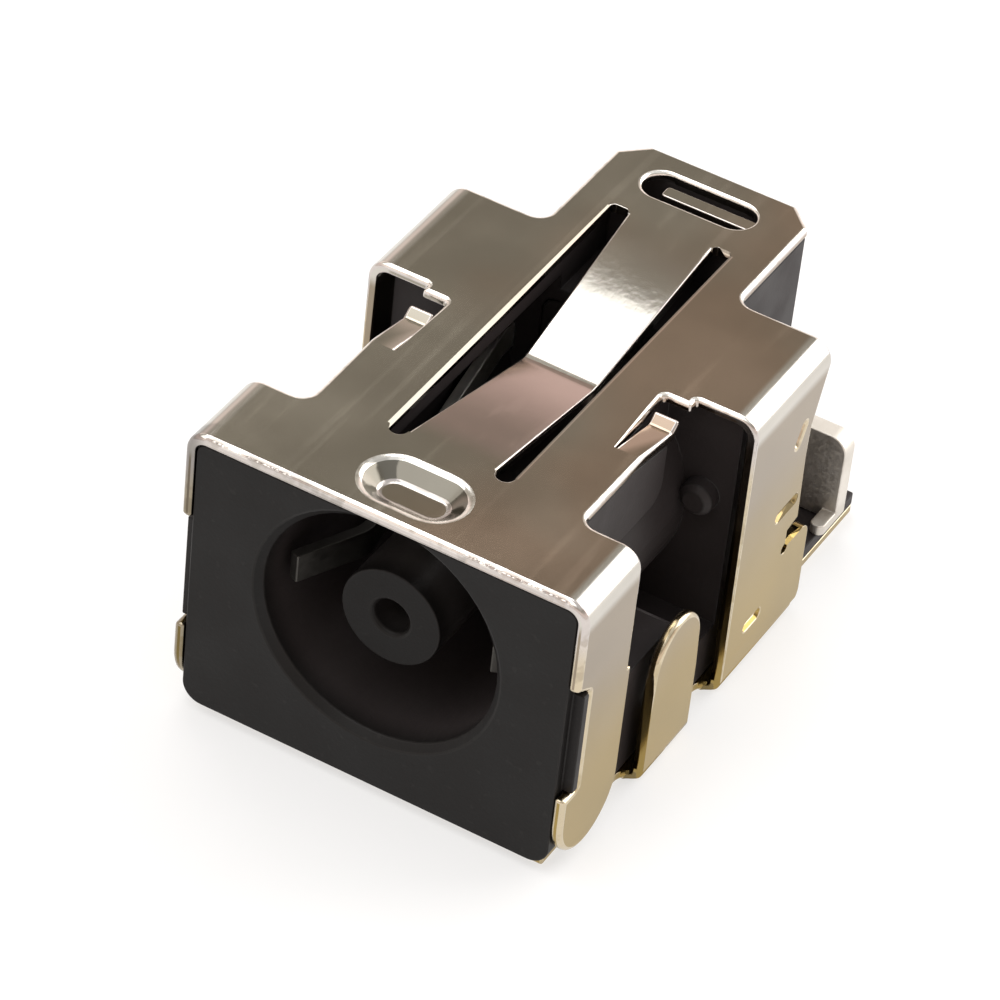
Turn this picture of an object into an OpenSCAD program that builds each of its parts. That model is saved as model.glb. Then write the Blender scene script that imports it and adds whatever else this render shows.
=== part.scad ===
// Board-mount dc barrel jack: one folded and stamped sheet shell round a black
// moulded housing, a rear insert that carries the hollow centre post, and the
// stamped contacts. Sizes are in millimetres, +Z is up and the plug goes in
// along +Y. Inside the modules y = 0 is the front edge of the shell and z = 0
// is the underside of its bottom plate; in_frame() moves that to the middle of
// the footprint.

/* [Overall size] */
// Width across the outer faces of the two side walls
body_w = 8.0; // [7.8:0.1:9.6]
// Height from the board to the top plate
body_h = 6.33; // [6.2:0.05:7.6]
// Length from the front edge to the end of the tail plate
body_l = 12.07; // [11.9:0.05:14.5]

/* [Sheet] */
// Thickness of the shell's sheet
sheet_t = 0.2; // [0.15:0.01:0.25]
// Outer radius of the bends along the top edges
top_bend_r = 0.42; // [0.3:0.01:0.6]
// Outer radius of the bends into the bottom plate
bottom_bend_r = 0.26; // [0.26:0.01:0.3]
// Radius in the inner corners of the sheet's outline
corner_r = 0.3; // [0.1:0.05:0.4]

/* [Shell outline] */
// Length of the front flange, from the front edge to the waist
flange_l = 1.92; // [1.7:0.01:2.2]
// Width of the waist of the top plate
waist_w = 5.5; // [5.3:0.1:6.0]
// Distance from the front edge to the wings
wing_front = 6.02; // [5.9:0.01:6.3]
// Distance from the front edge to the back of the wings at the top
wing_back = 8.9; // [8.6:0.01:9.3]
// Width of the tail plate
tail_w = 4.04; // [3.8:0.02:4.4]
// Corner chamfer of the tail plate
tail_chamfer = 0.46; // [0.2:0.02:0.6]
// How far the bottom plate's sides stay in from the side walls
plate_inset = 0.4; // [0.35:0.01:0.6]
// How far the bottom plate's front edge stays back
plate_front = 0.25; // [0.1:0.01:0.4]
// Width of the butt seam down the middle of the bottom plate
seam_w = 0.05; // [0.03:0.01:0.1]

/* [Front walls] */
// Height of the middle of the round foot
foot_mid_z = 1.25; // [1.24:0.01:1.5]
// Depth of the notch in the front edge
notch_depth = 0.46; // [0.3:0.01:0.6]
// Height of the notch's level lower edge
notch_low_z = 1.92; // [1.8:0.01:2.4]
// Height of the notch's upper edge, at its back and at the front edge
notch_high_z = [4.18, 4.45];

/* [Side tab] */
// Distance from the front edge to the middle of the tab
tab_mid_y = 3.955; // [3.6:0.005:4.2]
// Width of the tab
tab_w = 1.65; // [1.2:0.05:1.8]
// Height of the tab's round top
tab_top_z = 3.28; // [2.6:0.02:3.6]

/* [Spring tongue] */
// Width of the long window that the tongue hangs in
window_w = 2.52; // [2.3:0.02:2.8]
// Where the window starts and ends
window_span = [2.05, 10.1];
// Width of the tongue at its two roots and at its crease
tongue_w = [1.76, 1.52];
// How far the crease hangs below the top plate
tongue_dip = 0.8; // [0.4:0.05:0.9]
// Inner radius of the crease
crease_r = 0.9; // [0.4:0.1:1.5]

/* [Waist fingers] */
// Where the finger's window starts and ends
finger_span = [4.0, 5.8];
// Width of a finger
finger_w = 0.5; // [0.4:0.01:0.55]
// Width of the slit beside a finger
finger_slit = 0.04; // [0.03:0.01:0.1]
// Length of a finger's sloping part
finger_l = 1.2; // [1.0:0.05:1.3]
// Angle that a finger is bent down by
finger_angle = 11; // [6:1:14]
// Length of a finger's upturned tip
finger_tip_l = 0.26; // [0.2:0.01:0.34]
// Angle that the tip is turned up by
finger_tip_angle = 35; // [20:1:40]

/* [Contact dimple] */
// Distance from the front edge to the middle of the dimple
dimple_y = 1.0; // [0.95:0.01:1.1]
// Distance between the dimple's two end centres
dimple_span = 0.76; // [0.4:0.02:1.0]
// Radius of the dimple's floor and of its rim
dimple_r = [0.28, 0.635];
// Depth of the dimple
dimple_depth = 0.28; // [0.2:0.01:0.3]

/* [Tail slot] */
// Distance from the tail's end to the middle of the slot
tail_slot_in = 0.93; // [0.8:0.01:1.1]
// Length and width of the slot
tail_slot = [2.3, 0.8];
// Width of the lance left in the slot
lance_w = 0.3; // [0.2:0.01:0.4]
// How far the lance is pressed down
lance_drop = 0.1; // [0.05:0.01:0.15]

/* [Plug opening] */
// Diameter of the plug bore
bore_d = 4.7; // [3.9:0.05:4.7]
// Height of the plug bore's axis above the board
bore_z = 3.7; // [3.6:0.02:4.0]
// Width of the lead-in chamfer round the bore
lead_in = 0.15; // [0.05:0.01:0.2]
// Length of the straight entry ring behind the lead-in
ring_l = 0.35; // [0.3:0.01:0.35]
// How much the bore's radius narrows from the entry ring to its floor
bore_draft = 0.04; // [0.02:0.01:0.06]
// Distance from the front edge to the floor of the bore
bore_floor = 8.6; // [8.2:0.1:8.6]

/* [Centre post] */
// Diameter of the centre post
post_d = 1.98; // [1.6:0.01:2.1]
// Distance from the front edge to the post's face
post_front = 0.56; // [0.56:0.02:1.0]
// Diameter of the hole in the post's face
socket_d = 0.7; // [0.66:0.01:0.76]
// Width of the countersink round the hole
countersink = 0.06; // [0.03:0.01:0.1]
// Wall of the split contact behind the hole, whose bore is as wide as the hole
signal_wall = 0.14; // [0.1:0.01:0.18]

/* [Contacts] */
// Thickness of the contact strip
contact_t = 0.22; // [0.15:0.01:0.24]
// Height of the side springs and of the post blades
strip_h = [0.6, 0.7];
// Distance from the front edge to a side spring's tip and to its crown
spring_y = [0.75, 2.1];
// How far a side spring's tip stays in from the bore's wall
spring_tip_in = 0.18; // [0.1:0.02:0.3]
// Inner radius of a spring's or a blade's crown
crown_r = 0.5; // [0.3:0.1:0.8]
// How far the post blades stand out at their crown
blade_rise = 0.42; // [0.3:0.02:0.44]
// Thickness and top height of the rear lugs
lug = [0.4, 2.45];
// Length of the prong on a lug
prong_l = 0.55; // [0.4:0.05:1.2]
// Length of the solder feet behind the jack
foot_l = 0.55; // [0.3:0.05:1.0]

/* [Fits] */
// Gap between the moulding and the sheet
fit_gap = 0.02; // [0.01:0.01:0.05]
// Gap between the insert and its pocket, and round the contacts
slot_gap = 0.02; // [0.01:0.01:0.04]

/* [Hidden] */
$fn = 64;

// Overlap that lets a cut run past a face
over = 0.5;
// Overlap between shapes that are joined
weld = 0.05;

half_w = body_w / 2;
wall_in = half_w - sheet_t;
plate_half = half_w - plate_inset;
top_in = body_h - sheet_t;
waist_half = waist_w / 2;
tail_half = tail_w / 2;
window_half = window_w / 2;
plate_end = body_l - 0.02;

// Front wall and its round foot
foot_r = (flange_l + 0.05) / 2;
// Top of the zone in which the bottom plate's outline is cut in plan
bend_zone = bottom_bend_r;
// Tab
tab_r = tab_w / 2;
tab_front = tab_mid_y - tab_r;
tab_back = tab_mid_y + tab_r;
// Lower back edge of a wing, and where its bend to the bottom plate ends
wing_low_back = wing_back + 0.13;
wing_bend_back = wing_back - 0.15;
// Cut-back above the slit in a wing's back edge
wing_cut = 0.45;
slit_z = [2.1, 2.5];
slit_depth = 1.0;
// Middle and half size of the small slot in a wing
wing_slot = [[8.0, 4.8], [0.24, 0.06]];
// Retention dents: middle y, middle z, length between centres
dents = [[7.03, 1.07, 0.42], [7.85, 3.18, 0.62]];
dent_r = [0.07, 0.13];
dent_depth = 0.09;

// Slots either side of the tongue
slot_r = (window_half - tongue_w[0] / 2) / 2;
slot_back_r = 0.1;
tongue_front = window_span[0] + slot_r;
tongue_back = window_span[1] - slot_back_r;
tongue_mid = (tongue_front + tongue_back) / 2;
tongue_angle = atan(tongue_dip / (tongue_mid - tongue_front));

// Moulding
moulding_front = 0.04;
front_corner_r = 0.4;
rib_back = 0.25;
front_block_back = flange_l;
bore_r = bore_d / 2;
ring_start = moulding_front + lead_in;
ring_end = ring_start + ring_l;
barrel_r = bore_r + 0.33;
rail_z = 4.69;
rail_back = 5.1;
wing_block_front = 6.3;
wing_block_half = half_w - 0.4;
skirt_z = 1.3;
shoulder_z = 2.65;
ledge_z = 0.5;
roof_half = 1.4;
roof_floor = 5.2;
moulding_back = body_l - 0.04;
boss_r = 0.34;

// Insert
insert_half = 1.7;
insert_z = [bore_z - 2.1, bore_z + 1.2];
insert_back = moulding_back - 0.03;
post_r = post_d / 2;
socket_r = socket_d / 2;

// Contacts
// Inner face of the side strip behind the bore, clear of the tail block
side_x = max(bore_r - 0.1, tail_half + 0.12);
// Tip, crown and root of a side spring, on its face towards the wall
spring_tip = [bore_r - spring_tip_in, spring_y[0]];
spring_apex = [(bore_r + post_d / 2) / 2 - 0.14, spring_y[1]];
spring_root = [side_x + contact_t, bore_floor - 0.3];
// Where the wall of the bore opens for the spring
channel_front = wing_block_front + 0.2;
lug_front = body_l - 1.07;
lug_out = half_w - 0.28;
lug_corner = 0.35;
lug_low = ledge_z + slot_gap;
// Inner face of a post blade
blade_in = post_r + slot_gap;
leg_w = 0.42;
// Root, crown and tip of a post blade, on its face towards the post
blade_root = [blade_in, bore_floor - 0.3];
blade_apex = [blade_in + blade_rise, bore_floor - 2.0];
blade_tip = [blade_in + 0.02, bore_floor - 3.6];
tail_plane = body_l + 0.05;
tail_bend_r = 0.12;
foot_end = tail_plane + contact_t + foot_l;
bridge_z = [bore_z + 0.7, bore_z + 1.2];
// Split contact: inner and outer radius, mouth, depth of its hole, back end
signal_r = [socket_r, socket_r + signal_wall];
signal_front = post_front + 1.3;
signal_hole = 4;
signal_back = 10.4;
signal_slit = 0.12;
signal_tail_w = 0.44;

// Middle of the footprint
origin_y = foot_end / 2;

module in_frame() {
    translate([0, -origin_y, 0])
        children();
}

module both_sides() {
    children();
    mirror([1, 0, 0])
        children();
}

// Extrudes an outline drawn in X and Z from y0 to y1.
module along_y(y0, y1) {
    translate([0, y1, 0])
        rotate([90, 0, 0])
            linear_extrude(y1 - y0)
                children();
}

// Extrudes an outline drawn in Y and Z from x0 to x1.
module along_x(x0, x1) {
    translate([x0, 0, 0])
        rotate([90, 0, 90])
            linear_extrude(x1 - x0)
                children();
}

// Extrudes an outline drawn in X and Y from z0 to z1.
module along_z(z0, z1) {
    translate([0, 0, z0])
        linear_extrude(z1 - z0)
            children();
}

// A round bar along Y on the plug axis.
module axis_rod(r, y0, y1) {
    translate([0, y1, bore_z])
        rotate([90, 0, 0])
            cylinder(h = y1 - y0, r = r);
}

// What a rounded corner takes off, drawn for a lower left corner.
module corner_waste(at, turn, r) {
    if (r > 0) {
        translate(at)
            rotate(turn)
                difference() {
                    translate([-weld, -weld])
                        square(r + weld);
                    translate([r, r])
                        circle(r);
                }
    }
}

// A rectangle with its own radius at each corner, counted anticlockwise from
// the lower left.
module rounded(low, high, r) {
    difference() {
        translate(low)
            square(high - low);
        corner_waste(low, 0, r[0]);
        corner_waste([high[0], low[1]], 90, r[1]);
        corner_waste(high, 180, r[2]);
        corner_waste([low[0], high[1]], 270, r[3]);
    }
}

function unit(v) = v / norm(v);
function flip(p) = [-p[0], p[1]];

// Unit normal to the left of the way from one point to another.
function left_of(from, to) = unit([from[1] - to[1], to[0] - from[0]]);

// Wedge of a disc between two directions.
module disc_wedge(centre, r, from, to) {
    intersection() {
        translate(centre)
            circle(r);
        polygon([centre, centre + 2 * r * from, centre + 2 * r * to]);
    }
}

// A strip with one rounded crown, from its start over the apex to its end. The
// three points lie on its hollow side, and its thickness t is to their left.
module crowned_strip(start, apex, end, r, t) {
    a = unit(start - apex);
    b = unit(end - apex);
    na = left_of(start, apex);
    nb = left_of(apex, end);
    half = acos(a * b) / 2;
    touch_a = apex + a * r / tan(half);
    touch_b = apex + b * r / tan(half);
    centre = touch_a - na * r;
    difference() {
        union() {
            polygon([start, start + na * t, touch_a + na * t, touch_b + nb * t,
                end + nb * t, end, centre]);
            disc_wedge(centre, r + t, na, nb);
        }
        polygon([start + a * over, touch_a, touch_b, end + b * over,
            centre - unit(na + nb) * norm(start - end)]);
        disc_wedge(centre, r, na, nb);
    }
}

// Strip that carries a leg on from its end, round the given corners. It starts
// a little inside the leg.
module leg_and_on(apex, end, t, corners) {
    back = weld * unit(apex - end);
    n = left_of(apex, end);
    polygon(concat([end, end + back, end + back + n * t, end + n * t], corners));
}

// A long boss or pocket with round ends and sloping sides, along X.
module stadium_frustum(span, r0, r1, h) {
    for (side = [-1, 1]) {
        translate([side * span / 2, 0, 0])
            cylinder(h = h, r1 = r0, r2 = r1);
    }
    along_x(-span / 2, span / 2)
        polygon([[-r0, 0], [r0, 0], [r1, h], [-r1, h]]);
}

// ---------------------------------------------------------------- shell

// Section of the folded sheet, before anything is cut out of it.
module folded_section() {
    in_top_r = max(top_bend_r - sheet_t, 0.02);
    in_low_r = max(bottom_bend_r - sheet_t, 0.02);
    difference() {
        rounded([-half_w, 0], [half_w, body_h],
            [bottom_bend_r, bottom_bend_r, top_bend_r, top_bend_r]);
        rounded([-wall_in, sheet_t], [wall_in, top_in],
            [in_low_r, in_low_r, in_top_r, in_top_r]);
    }
}

// Front wall seen from the side, with its notch and its round foot.
module front_wall_outline() {
    difference() {
        union() {
            translate([0, foot_mid_z])
                square([foot_r * 2, body_h - foot_mid_z + over]);
            translate([foot_r, foot_mid_z])
                circle(foot_r);
        }
        polygon([
            [-over, notch_low_z],
            [notch_depth, notch_low_z],
            [notch_depth, notch_high_z[0]],
            [0, notch_high_z[1]],
            [-over, notch_high_z[1]]
        ]);
    }
}

// Tab seen from the side.
module tab_outline() {
    translate([tab_front, 0])
        square([tab_w, tab_top_z - tab_r]);
    translate([tab_mid_y, tab_top_z - tab_r])
        circle(tab_r);
}

// Wing seen from the side: the back edge steps in above a slanting slit.
module wing_outline() {
    difference() {
        union() {
            rounded([wing_front, 0.1], [wing_low_back, slit_z[0]], [0, 0.4, 0.3, 0]);
            polygon([
                [wing_front, slit_z[0] - weld],
                [wing_low_back - slit_depth, slit_z[0] - weld],
                [wing_low_back - slit_depth, slit_z[1]],
                [wing_back - wing_cut, slit_z[1]],
                [wing_back - wing_cut - 0.05, 3.6],
                [wing_back - wing_cut, 4.7],
                [wing_back, body_h - top_bend_r],
                [wing_back, body_h + over],
                [wing_front, body_h + over]
            ]);
        }
        translate([wing_low_back - slit_depth, slit_z[0]])
            circle(0.12);
        // Small slanting slot near the back edge
        translate(wing_slot[0])
            rotate(60)
                rounded(-wing_slot[1], wing_slot[1], [1, 1, 1, 1] * wing_slot[1][1]);
    }
}

// Everything to be cut away from the side walls.
module side_waste() {
    difference() {
        translate([-over, bend_zone])
            square([body_l + 2 * over, body_h + over - bend_zone]);
        front_wall_outline();
        tab_outline();
        wing_outline();
    }
}

// Outline cuts of the top plate, for the right side.
module top_waste() {
    rounded([waist_half, flange_l], [half_w + over, wing_front], [corner_r, 0, 0, 0]);
    rounded([tail_half, wing_back], [half_w + over, body_l + over], [corner_r, 0, 0, 0]);
    translate([tail_half, body_l])
        rotate(-45)
            square([3 * tail_chamfer, tail_chamfer * sqrt(2)], center = true);
    // Window that the finger lies in
    rounded([waist_half - finger_w - finger_slit, finger_span[0]],
        [waist_half + weld, finger_span[1]], [0, 0, 0, 0.1]);
}

// Outline cuts of the bottom plate, for the right side.
module bottom_waste() {
    out = half_w + over;
    rounded([plate_half, -over], [out, tab_front], [0, 0, 0, corner_r]);
    rounded([plate_half, tab_back], [out, wing_front], [corner_r, 0, 0, corner_r]);
    rounded([plate_half, wing_bend_back], [out, body_l + over], [corner_r, 0, 0, 0]);
    translate([-over, -over])
        square([out + over, plate_front + over]);
    translate([-over, plate_end])
        square([out + over, over]);
}

// The window for the tongue, with a round slot end at each front corner.
module tongue_window() {
    mid = (window_half + tongue_w[0] / 2) / 2;
    translate([-window_half, tongue_front])
        square([window_w, tongue_back - tongue_front]);
    for (side = [-1, 1]) {
        translate([side * mid, tongue_front])
            circle(slot_r);
        translate([side * mid, 0])
            rounded([-slot_r, tongue_back - slot_back_r], [slot_r, window_span[1]],
                [0, 0, slot_back_r, slot_back_r]);
    }
}

// Free space above a valley whose sides slope at tongue_angle. The valley is
// rounded by a circle round a fixed centre, so a larger drop keeps the sheet's
// thickness all the way along.
module valley(drop) {
    r = crease_r + drop;
    centre_z = body_h - tongue_dip + crease_r / cos(tongue_angle);
    touch = [r * sin(tongue_angle), centre_z - r * cos(tongue_angle)];
    reach = tongue_mid - tongue_front + weld;
    end_z = touch[1] + (reach - touch[0]) * tan(tongue_angle);
    translate([tongue_mid, 0]) {
        polygon([
            [-reach, end_z],
            [-touch[0], touch[1]],
            [touch[0], touch[1]],
            [reach, end_z],
            [reach, body_h + over],
            [-reach, body_h + over]
        ]);
        intersection() {
            translate([0, centre_z])
                circle(r);
            translate([-r, centre_z - r])
                square([2 * r, r - r * cos(tongue_angle) + weld]);
        }
    }
}

// The tongue: held at both ends and creased down in the middle, where it is
// narrower.
module tongue() {
    intersection() {
        along_x(-window_half, window_half)
            intersection() {
                difference() {
                    valley(sheet_t);
                    valley(0);
                }
                square([body_l, body_h]);
            }
        along_z(0, body_h + over)
            polygon([
                [-tongue_w[0] / 2, tongue_front - weld],
                [tongue_w[0] / 2, tongue_front - weld],
                [tongue_w[1] / 2, tongue_mid],
                [tongue_w[0] / 2, tongue_back + weld],
                [-tongue_w[0] / 2, tongue_back + weld],
                [-tongue_w[1] / 2, tongue_mid]
            ]);
    }
}

// A finger, bent down along the waist's edge, with an upturned tip.
module finger() {
    root = [finger_span[0] - weld, body_h + weld * tan(finger_angle)];
    apex = root + (finger_l + weld) * [cos(finger_angle), -sin(finger_angle)];
    tip = apex + finger_tip_l * [cos(finger_tip_angle), sin(finger_tip_angle)];
    along_x(waist_half - finger_w, waist_half)
        intersection() {
            crowned_strip(tip, apex, root, 0.15, sheet_t);
            square([body_l, body_h]);
        }
}

// Slope of the dimple's side, and the sideways step that keeps the sheet's
// thickness along it.
dimple_slope = (dimple_r[1] - dimple_r[0]) / dimple_depth;
dimple_step = sheet_t * (sqrt(1 + dimple_slope * dimple_slope) - dimple_slope);

// The dimple as it shows from above, grown by a margin all round.
module dimple_pocket(margin) {
    translate([0, dimple_y, body_h - dimple_depth - margin])
        stadium_frustum(dimple_span, dimple_r[0] + margin,
            dimple_r[1] + margin + weld * dimple_slope, dimple_depth + weld);
}

// The dimple's underside, which hangs below the top plate.
module dimple_bump(margin) {
    translate([0, dimple_y, top_in - dimple_depth - margin])
        stadium_frustum(dimple_span, dimple_r[0] + dimple_step + margin,
            dimple_r[1] + dimple_step + margin + weld * dimple_slope,
            dimple_depth + weld);
}

// Places a dent's shape on the right wall, with its depth along -X.
module on_wall(dent, x) {
    translate([x, dent[0], dent[1]])
        rotate([0, 90, 0])
            rotate([0, 0, 90])
                children();
}

module dent_pocket(dent) {
    on_wall(dent, half_w - dent_depth)
        stadium_frustum(dent[2], dent_r[0], dent_r[1] + 0.03, dent_depth + 0.045);
}

module dent_bump(dent, margin) {
    on_wall(dent, wall_in - dent_depth - margin)
        stadium_frustum(dent[2], dent_r[0] + 0.05 + margin, dent_r[1] + 0.09 + margin,
            dent_depth + margin + weld);
}

module tail_slot_outline() {
    r = tail_slot[1] / 2;
    translate([0, body_l - tail_slot_in])
        rounded([-tail_slot[0] / 2, -r], [tail_slot[0] / 2, r], [r, r, r, r]);
}

// Lance that stays in the tail slot, joined to the plate at its +X end.
module tail_lance() {
    translate([0, body_l - tail_slot_in, top_in - lance_drop])
        along_z(0, sheet_t)
            rounded([-0.32 * tail_slot[0], -lance_w / 2],
                [tail_slot[0] / 2 + 0.12, lance_w / 2], [0.08, 0, 0, 0.08]);
}

module shell() {
    color([0.55, 0.51, 0.45])
    in_frame() {
        difference() {
            union() {
                difference() {
                    along_y(0, body_l)
                        folded_section();
                    both_sides() {
                        along_x(plate_half, half_w + over)
                            side_waste();
                        along_z(body_h / 2 + over, body_h + over)
                            top_waste();
                        along_z(-over, bend_zone)
                            bottom_waste();
                    }
                    along_z(-over, bend_zone)
                        translate([-seam_w / 2, 0])
                            square([seam_w, body_l]);
                    along_z(body_h / 2, body_h + over)
                        tongue_window();
                    along_z(body_h / 2, body_h + over)
                        tail_slot_outline();
                }
                tongue();
                tail_lance();
                both_sides() {
                    finger();
                    for (dent = dents) {
                        dent_bump(dent, 0);
                    }
                }
                dimple_bump(0);
            }
            dimple_pocket(0);
            both_sides() {
                for (dent = dents) {
                    dent_pocket(dent);
                }
            }
        }
    }
}

// -------------------------------------------------------------- housing

// Front block in section, with the two round lower corners.
module front_section() {
    r = max(top_bend_r - sheet_t, 0.02);
    rounded([-wall_in + fit_gap, sheet_t + fit_gap], [wall_in - fit_gap, top_in - fit_gap],
        [front_corner_r, front_corner_r, r, r]);
}

// Rib that fills the notch in a front wall.
module notch_rib() {
    along_x(wall_in - over, half_w)
        polygon([
            [rib_back, notch_low_z + fit_gap],
            [notch_depth - fit_gap, notch_low_z + fit_gap],
            [notch_depth - fit_gap, notch_high_z[0] - fit_gap],
            [rib_back, notch_high_z[0] + fit_gap]
        ]);
}

// Barrel round the bore, with a flat rail along each upper side.
module waist_body() {
    intersection() {
        union() {
            axis_rod(barrel_r, front_block_back - weld, wing_block_front + weld);
            along_x(-waist_half + fit_gap, waist_half - fit_gap)
                rounded([front_block_back - weld, rail_z], [rail_back, top_in],
                    [0, 0.4, 0, 0]);
            along_x(-roof_half - 0.7, roof_half + 0.7)
                translate([front_block_back, rail_z])
                    square([wing_block_front - front_block_back + weld, top_in - rail_z]);
        }
        translate([-half_w, 0, sheet_t + fit_gap])
            cube([body_w, body_l, top_in - sheet_t - 2 * fit_gap]);
    }
}

// Skirts on the bottom plate, with a raised shoulder behind each tab.
module skirt() {
    along_x(-plate_half, plate_half)
        translate([front_block_back - weld, sheet_t + fit_gap])
            square([wing_block_front + 0.6 - front_block_back, skirt_z - sheet_t - fit_gap]);
    both_sides()
        along_x(plate_half - 1.3, plate_half)
            rounded([front_block_back + 0.5, sheet_t + fit_gap], [tab_back - 0.25, shoulder_z],
                [0, 0, 0.15, 0.15]);
}

module wing_block() {
    along_y(wing_block_front, wing_back)
        rounded([-wing_block_half, sheet_t + fit_gap], [wing_block_half, top_in - fit_gap],
            [0.05, 0.05, 0.25, 0.25]);
    both_sides()
        translate([wing_block_half - 0.62, wing_block_front, bore_z + 0.42])
            rotate([90, 0, 0]) {
                cylinder(h = 0.25, r = boss_r);
                translate([0, 0, 0.25])
                    cylinder(h = 0.12, r1 = boss_r, r2 = boss_r - 0.12);
            }
}

module tail_block() {
    along_y(wing_back - weld, moulding_back)
        translate([-tail_half + fit_gap, sheet_t + fit_gap])
            square([tail_w - 2 * fit_gap, top_in - sheet_t - 2 * fit_gap]);
    along_x(-plate_half, plate_half)
        translate([wing_back - weld, sheet_t + fit_gap])
            square([moulding_back - wing_back + weld, ledge_z - sheet_t - fit_gap]);
}

// Chamfers that match the tail plate's corners.
module tail_corner_waste() {
    both_sides()
        along_z(ledge_z, body_h)
            translate([tail_half, moulding_back])
                rotate(-45)
                    square([3 * tail_chamfer, tail_chamfer * sqrt(2)], center = true);
}

module bore_space() {
    axis_rod(bore_r, moulding_front - over, ring_end);
    translate([0, bore_floor, bore_z])
        rotate([90, 0, 0])
            cylinder(h = bore_floor - ring_end, r1 = bore_r - bore_draft, r2 = bore_r);
    translate([0, ring_start, bore_z])
        rotate([90, 0, 0])
            cylinder(h = lead_in + weld, r1 = bore_r, r2 = bore_r + lead_in + weld);
}

// Open roof of the bore, where the tongue and the dimple reach in.
module roof_opening() {
    along_x(-roof_half, roof_half)
        translate([flange_l + 0.05, roof_floor])
            square([window_span[1] + 0.15 - flange_l, body_h - roof_floor]);
    dimple_bump(0.05);
    along_z(body_h - 0.75, body_h)
        offset_slot(0.02);
}

// The tail slot's outline, grown by a margin.
module offset_slot(margin) {
    r = tail_slot[1] / 2 + margin;
    translate([0, body_l - tail_slot_in])
        rounded([-tail_slot[0] / 2 - 0.2, -r], [tail_slot[0] / 2 + 0.2, r], [r, r, r, r]);
}

// Room under and round a bent finger.
module finger_relief() {
    along_x(waist_half - finger_w - finger_slit, waist_half + over)
        translate([finger_span[0], top_in])
            rotate(-finger_angle)
                translate([-0.15, -0.05])
                    square([finger_l + 0.9, 2]);
}

// Slot for a side contact: the bore's wall opens for the spring's rear half, and
// a channel runs back from there through the wing block.
module side_channel() {
    z0 = bore_z - strip_h[0] / 2 - slot_gap;
    along_z(z0, z0 + strip_h[0] + 2 * slot_gap) {
        translate([bore_r - 0.7, channel_front])
            square([side_x + contact_t + slot_gap - bore_r + 0.7,
                bore_floor - channel_front]);
        translate([side_x - slot_gap, bore_floor - weld])
            square([contact_t + 2 * slot_gap, wing_back + over - bore_floor]);
    }
}

// Pocket for the rear insert, open at the back.
module insert_pocket() {
    along_y(bore_floor - weld, moulding_back + over)
        rounded([-insert_half - slot_gap, insert_z[0] - slot_gap],
            [insert_half + slot_gap, insert_z[1] + slot_gap], [0.3, 0.3, 0.3, 0.3]);
}

module housing() {
    color([0.14, 0.13, 0.13])
    in_frame() {
        difference() {
            union() {
                along_y(moulding_front, front_block_back)
                    front_section();
                both_sides()
                    notch_rib();
                waist_body();
                skirt();
                wing_block();
                tail_block();
            }
            bore_space();
            roof_opening();
            both_sides() {
                finger_relief();
                side_channel();
                for (dent = dents) {
                    dent_bump(dent, 0.03);
                }
            }
            tail_corner_waste();
            insert_pocket();
        }
    }
}

// ---------------------------------------------------------- rear insert

module rear_insert() {
    color([0.12, 0.11, 0.11])
    in_frame() {
        difference() {
            union() {
                along_y(bore_floor, insert_back)
                    rounded([-insert_half, insert_z[0]], [insert_half, insert_z[1]],
                        [0.3, 0.3, 0.3, 0.3]);
                axis_rod(post_r, post_front, bore_floor + weld);
            }
            axis_rod(socket_r, post_front - over, insert_back + over);
            axis_rod(signal_r[1] + slot_gap, signal_front - slot_gap, insert_back + over);
            translate([0, post_front + countersink, bore_z])
                rotate([90, 0, 0])
                    cylinder(h = countersink + weld, r1 = socket_r,
                        r2 = socket_r + countersink + weld);
            // Channels for the two post blades
            both_sides()
                along_x(blade_in - slot_gap, blade_in + contact_t + slot_gap)
                    translate([bore_floor - over, bore_z - strip_h[1] / 2 - slot_gap])
                        square([insert_back - bore_floor + 2 * over,
                            strip_h[1] + 2 * slot_gap]);
        }
    }
}

// ------------------------------------------------------------- contacts

// Solder tail seen from the side: down from z to the board, then back.
module solder_tail(z) {
    r = tail_bend_r;
    rounded([tail_plane, 0], [tail_plane + contact_t, z], [r + contact_t, 0, 0, 0]);
    difference() {
        translate([tail_plane + r, 0])
            square([foot_end - tail_plane - r, contact_t]);
        corner_waste([tail_plane, 0], 0, r + contact_t);
    }
    // Fillet in the inner corner of the bend
    difference() {
        translate([tail_plane + contact_t - weld, contact_t - weld])
            square(r + weld);
        translate([tail_plane + contact_t + r, contact_t + r])
            circle(r);
    }
}

// Split socket for the plug's centre pin, with a flat tail to the board.
module signal_contact() {
    z = bore_z + contact_t / 2;
    color([0.72, 0.66, 0.5])
    in_frame() {
        difference() {
            axis_rod(signal_r[1], signal_front, signal_back);
            axis_rod(signal_r[0], signal_front - over, signal_front + signal_hole);
            translate([-signal_slit / 2, signal_front - over, bore_z - 1])
                cube([signal_slit, over + 0.7 * signal_hole, 2]);
        }
        along_x(-signal_tail_w / 2, signal_tail_w / 2) {
            translate([signal_back - weld, z - contact_t])
                square([tail_plane - signal_back + 2 * weld, contact_t]);
            solder_tail(z);
        }
    }
}

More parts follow.
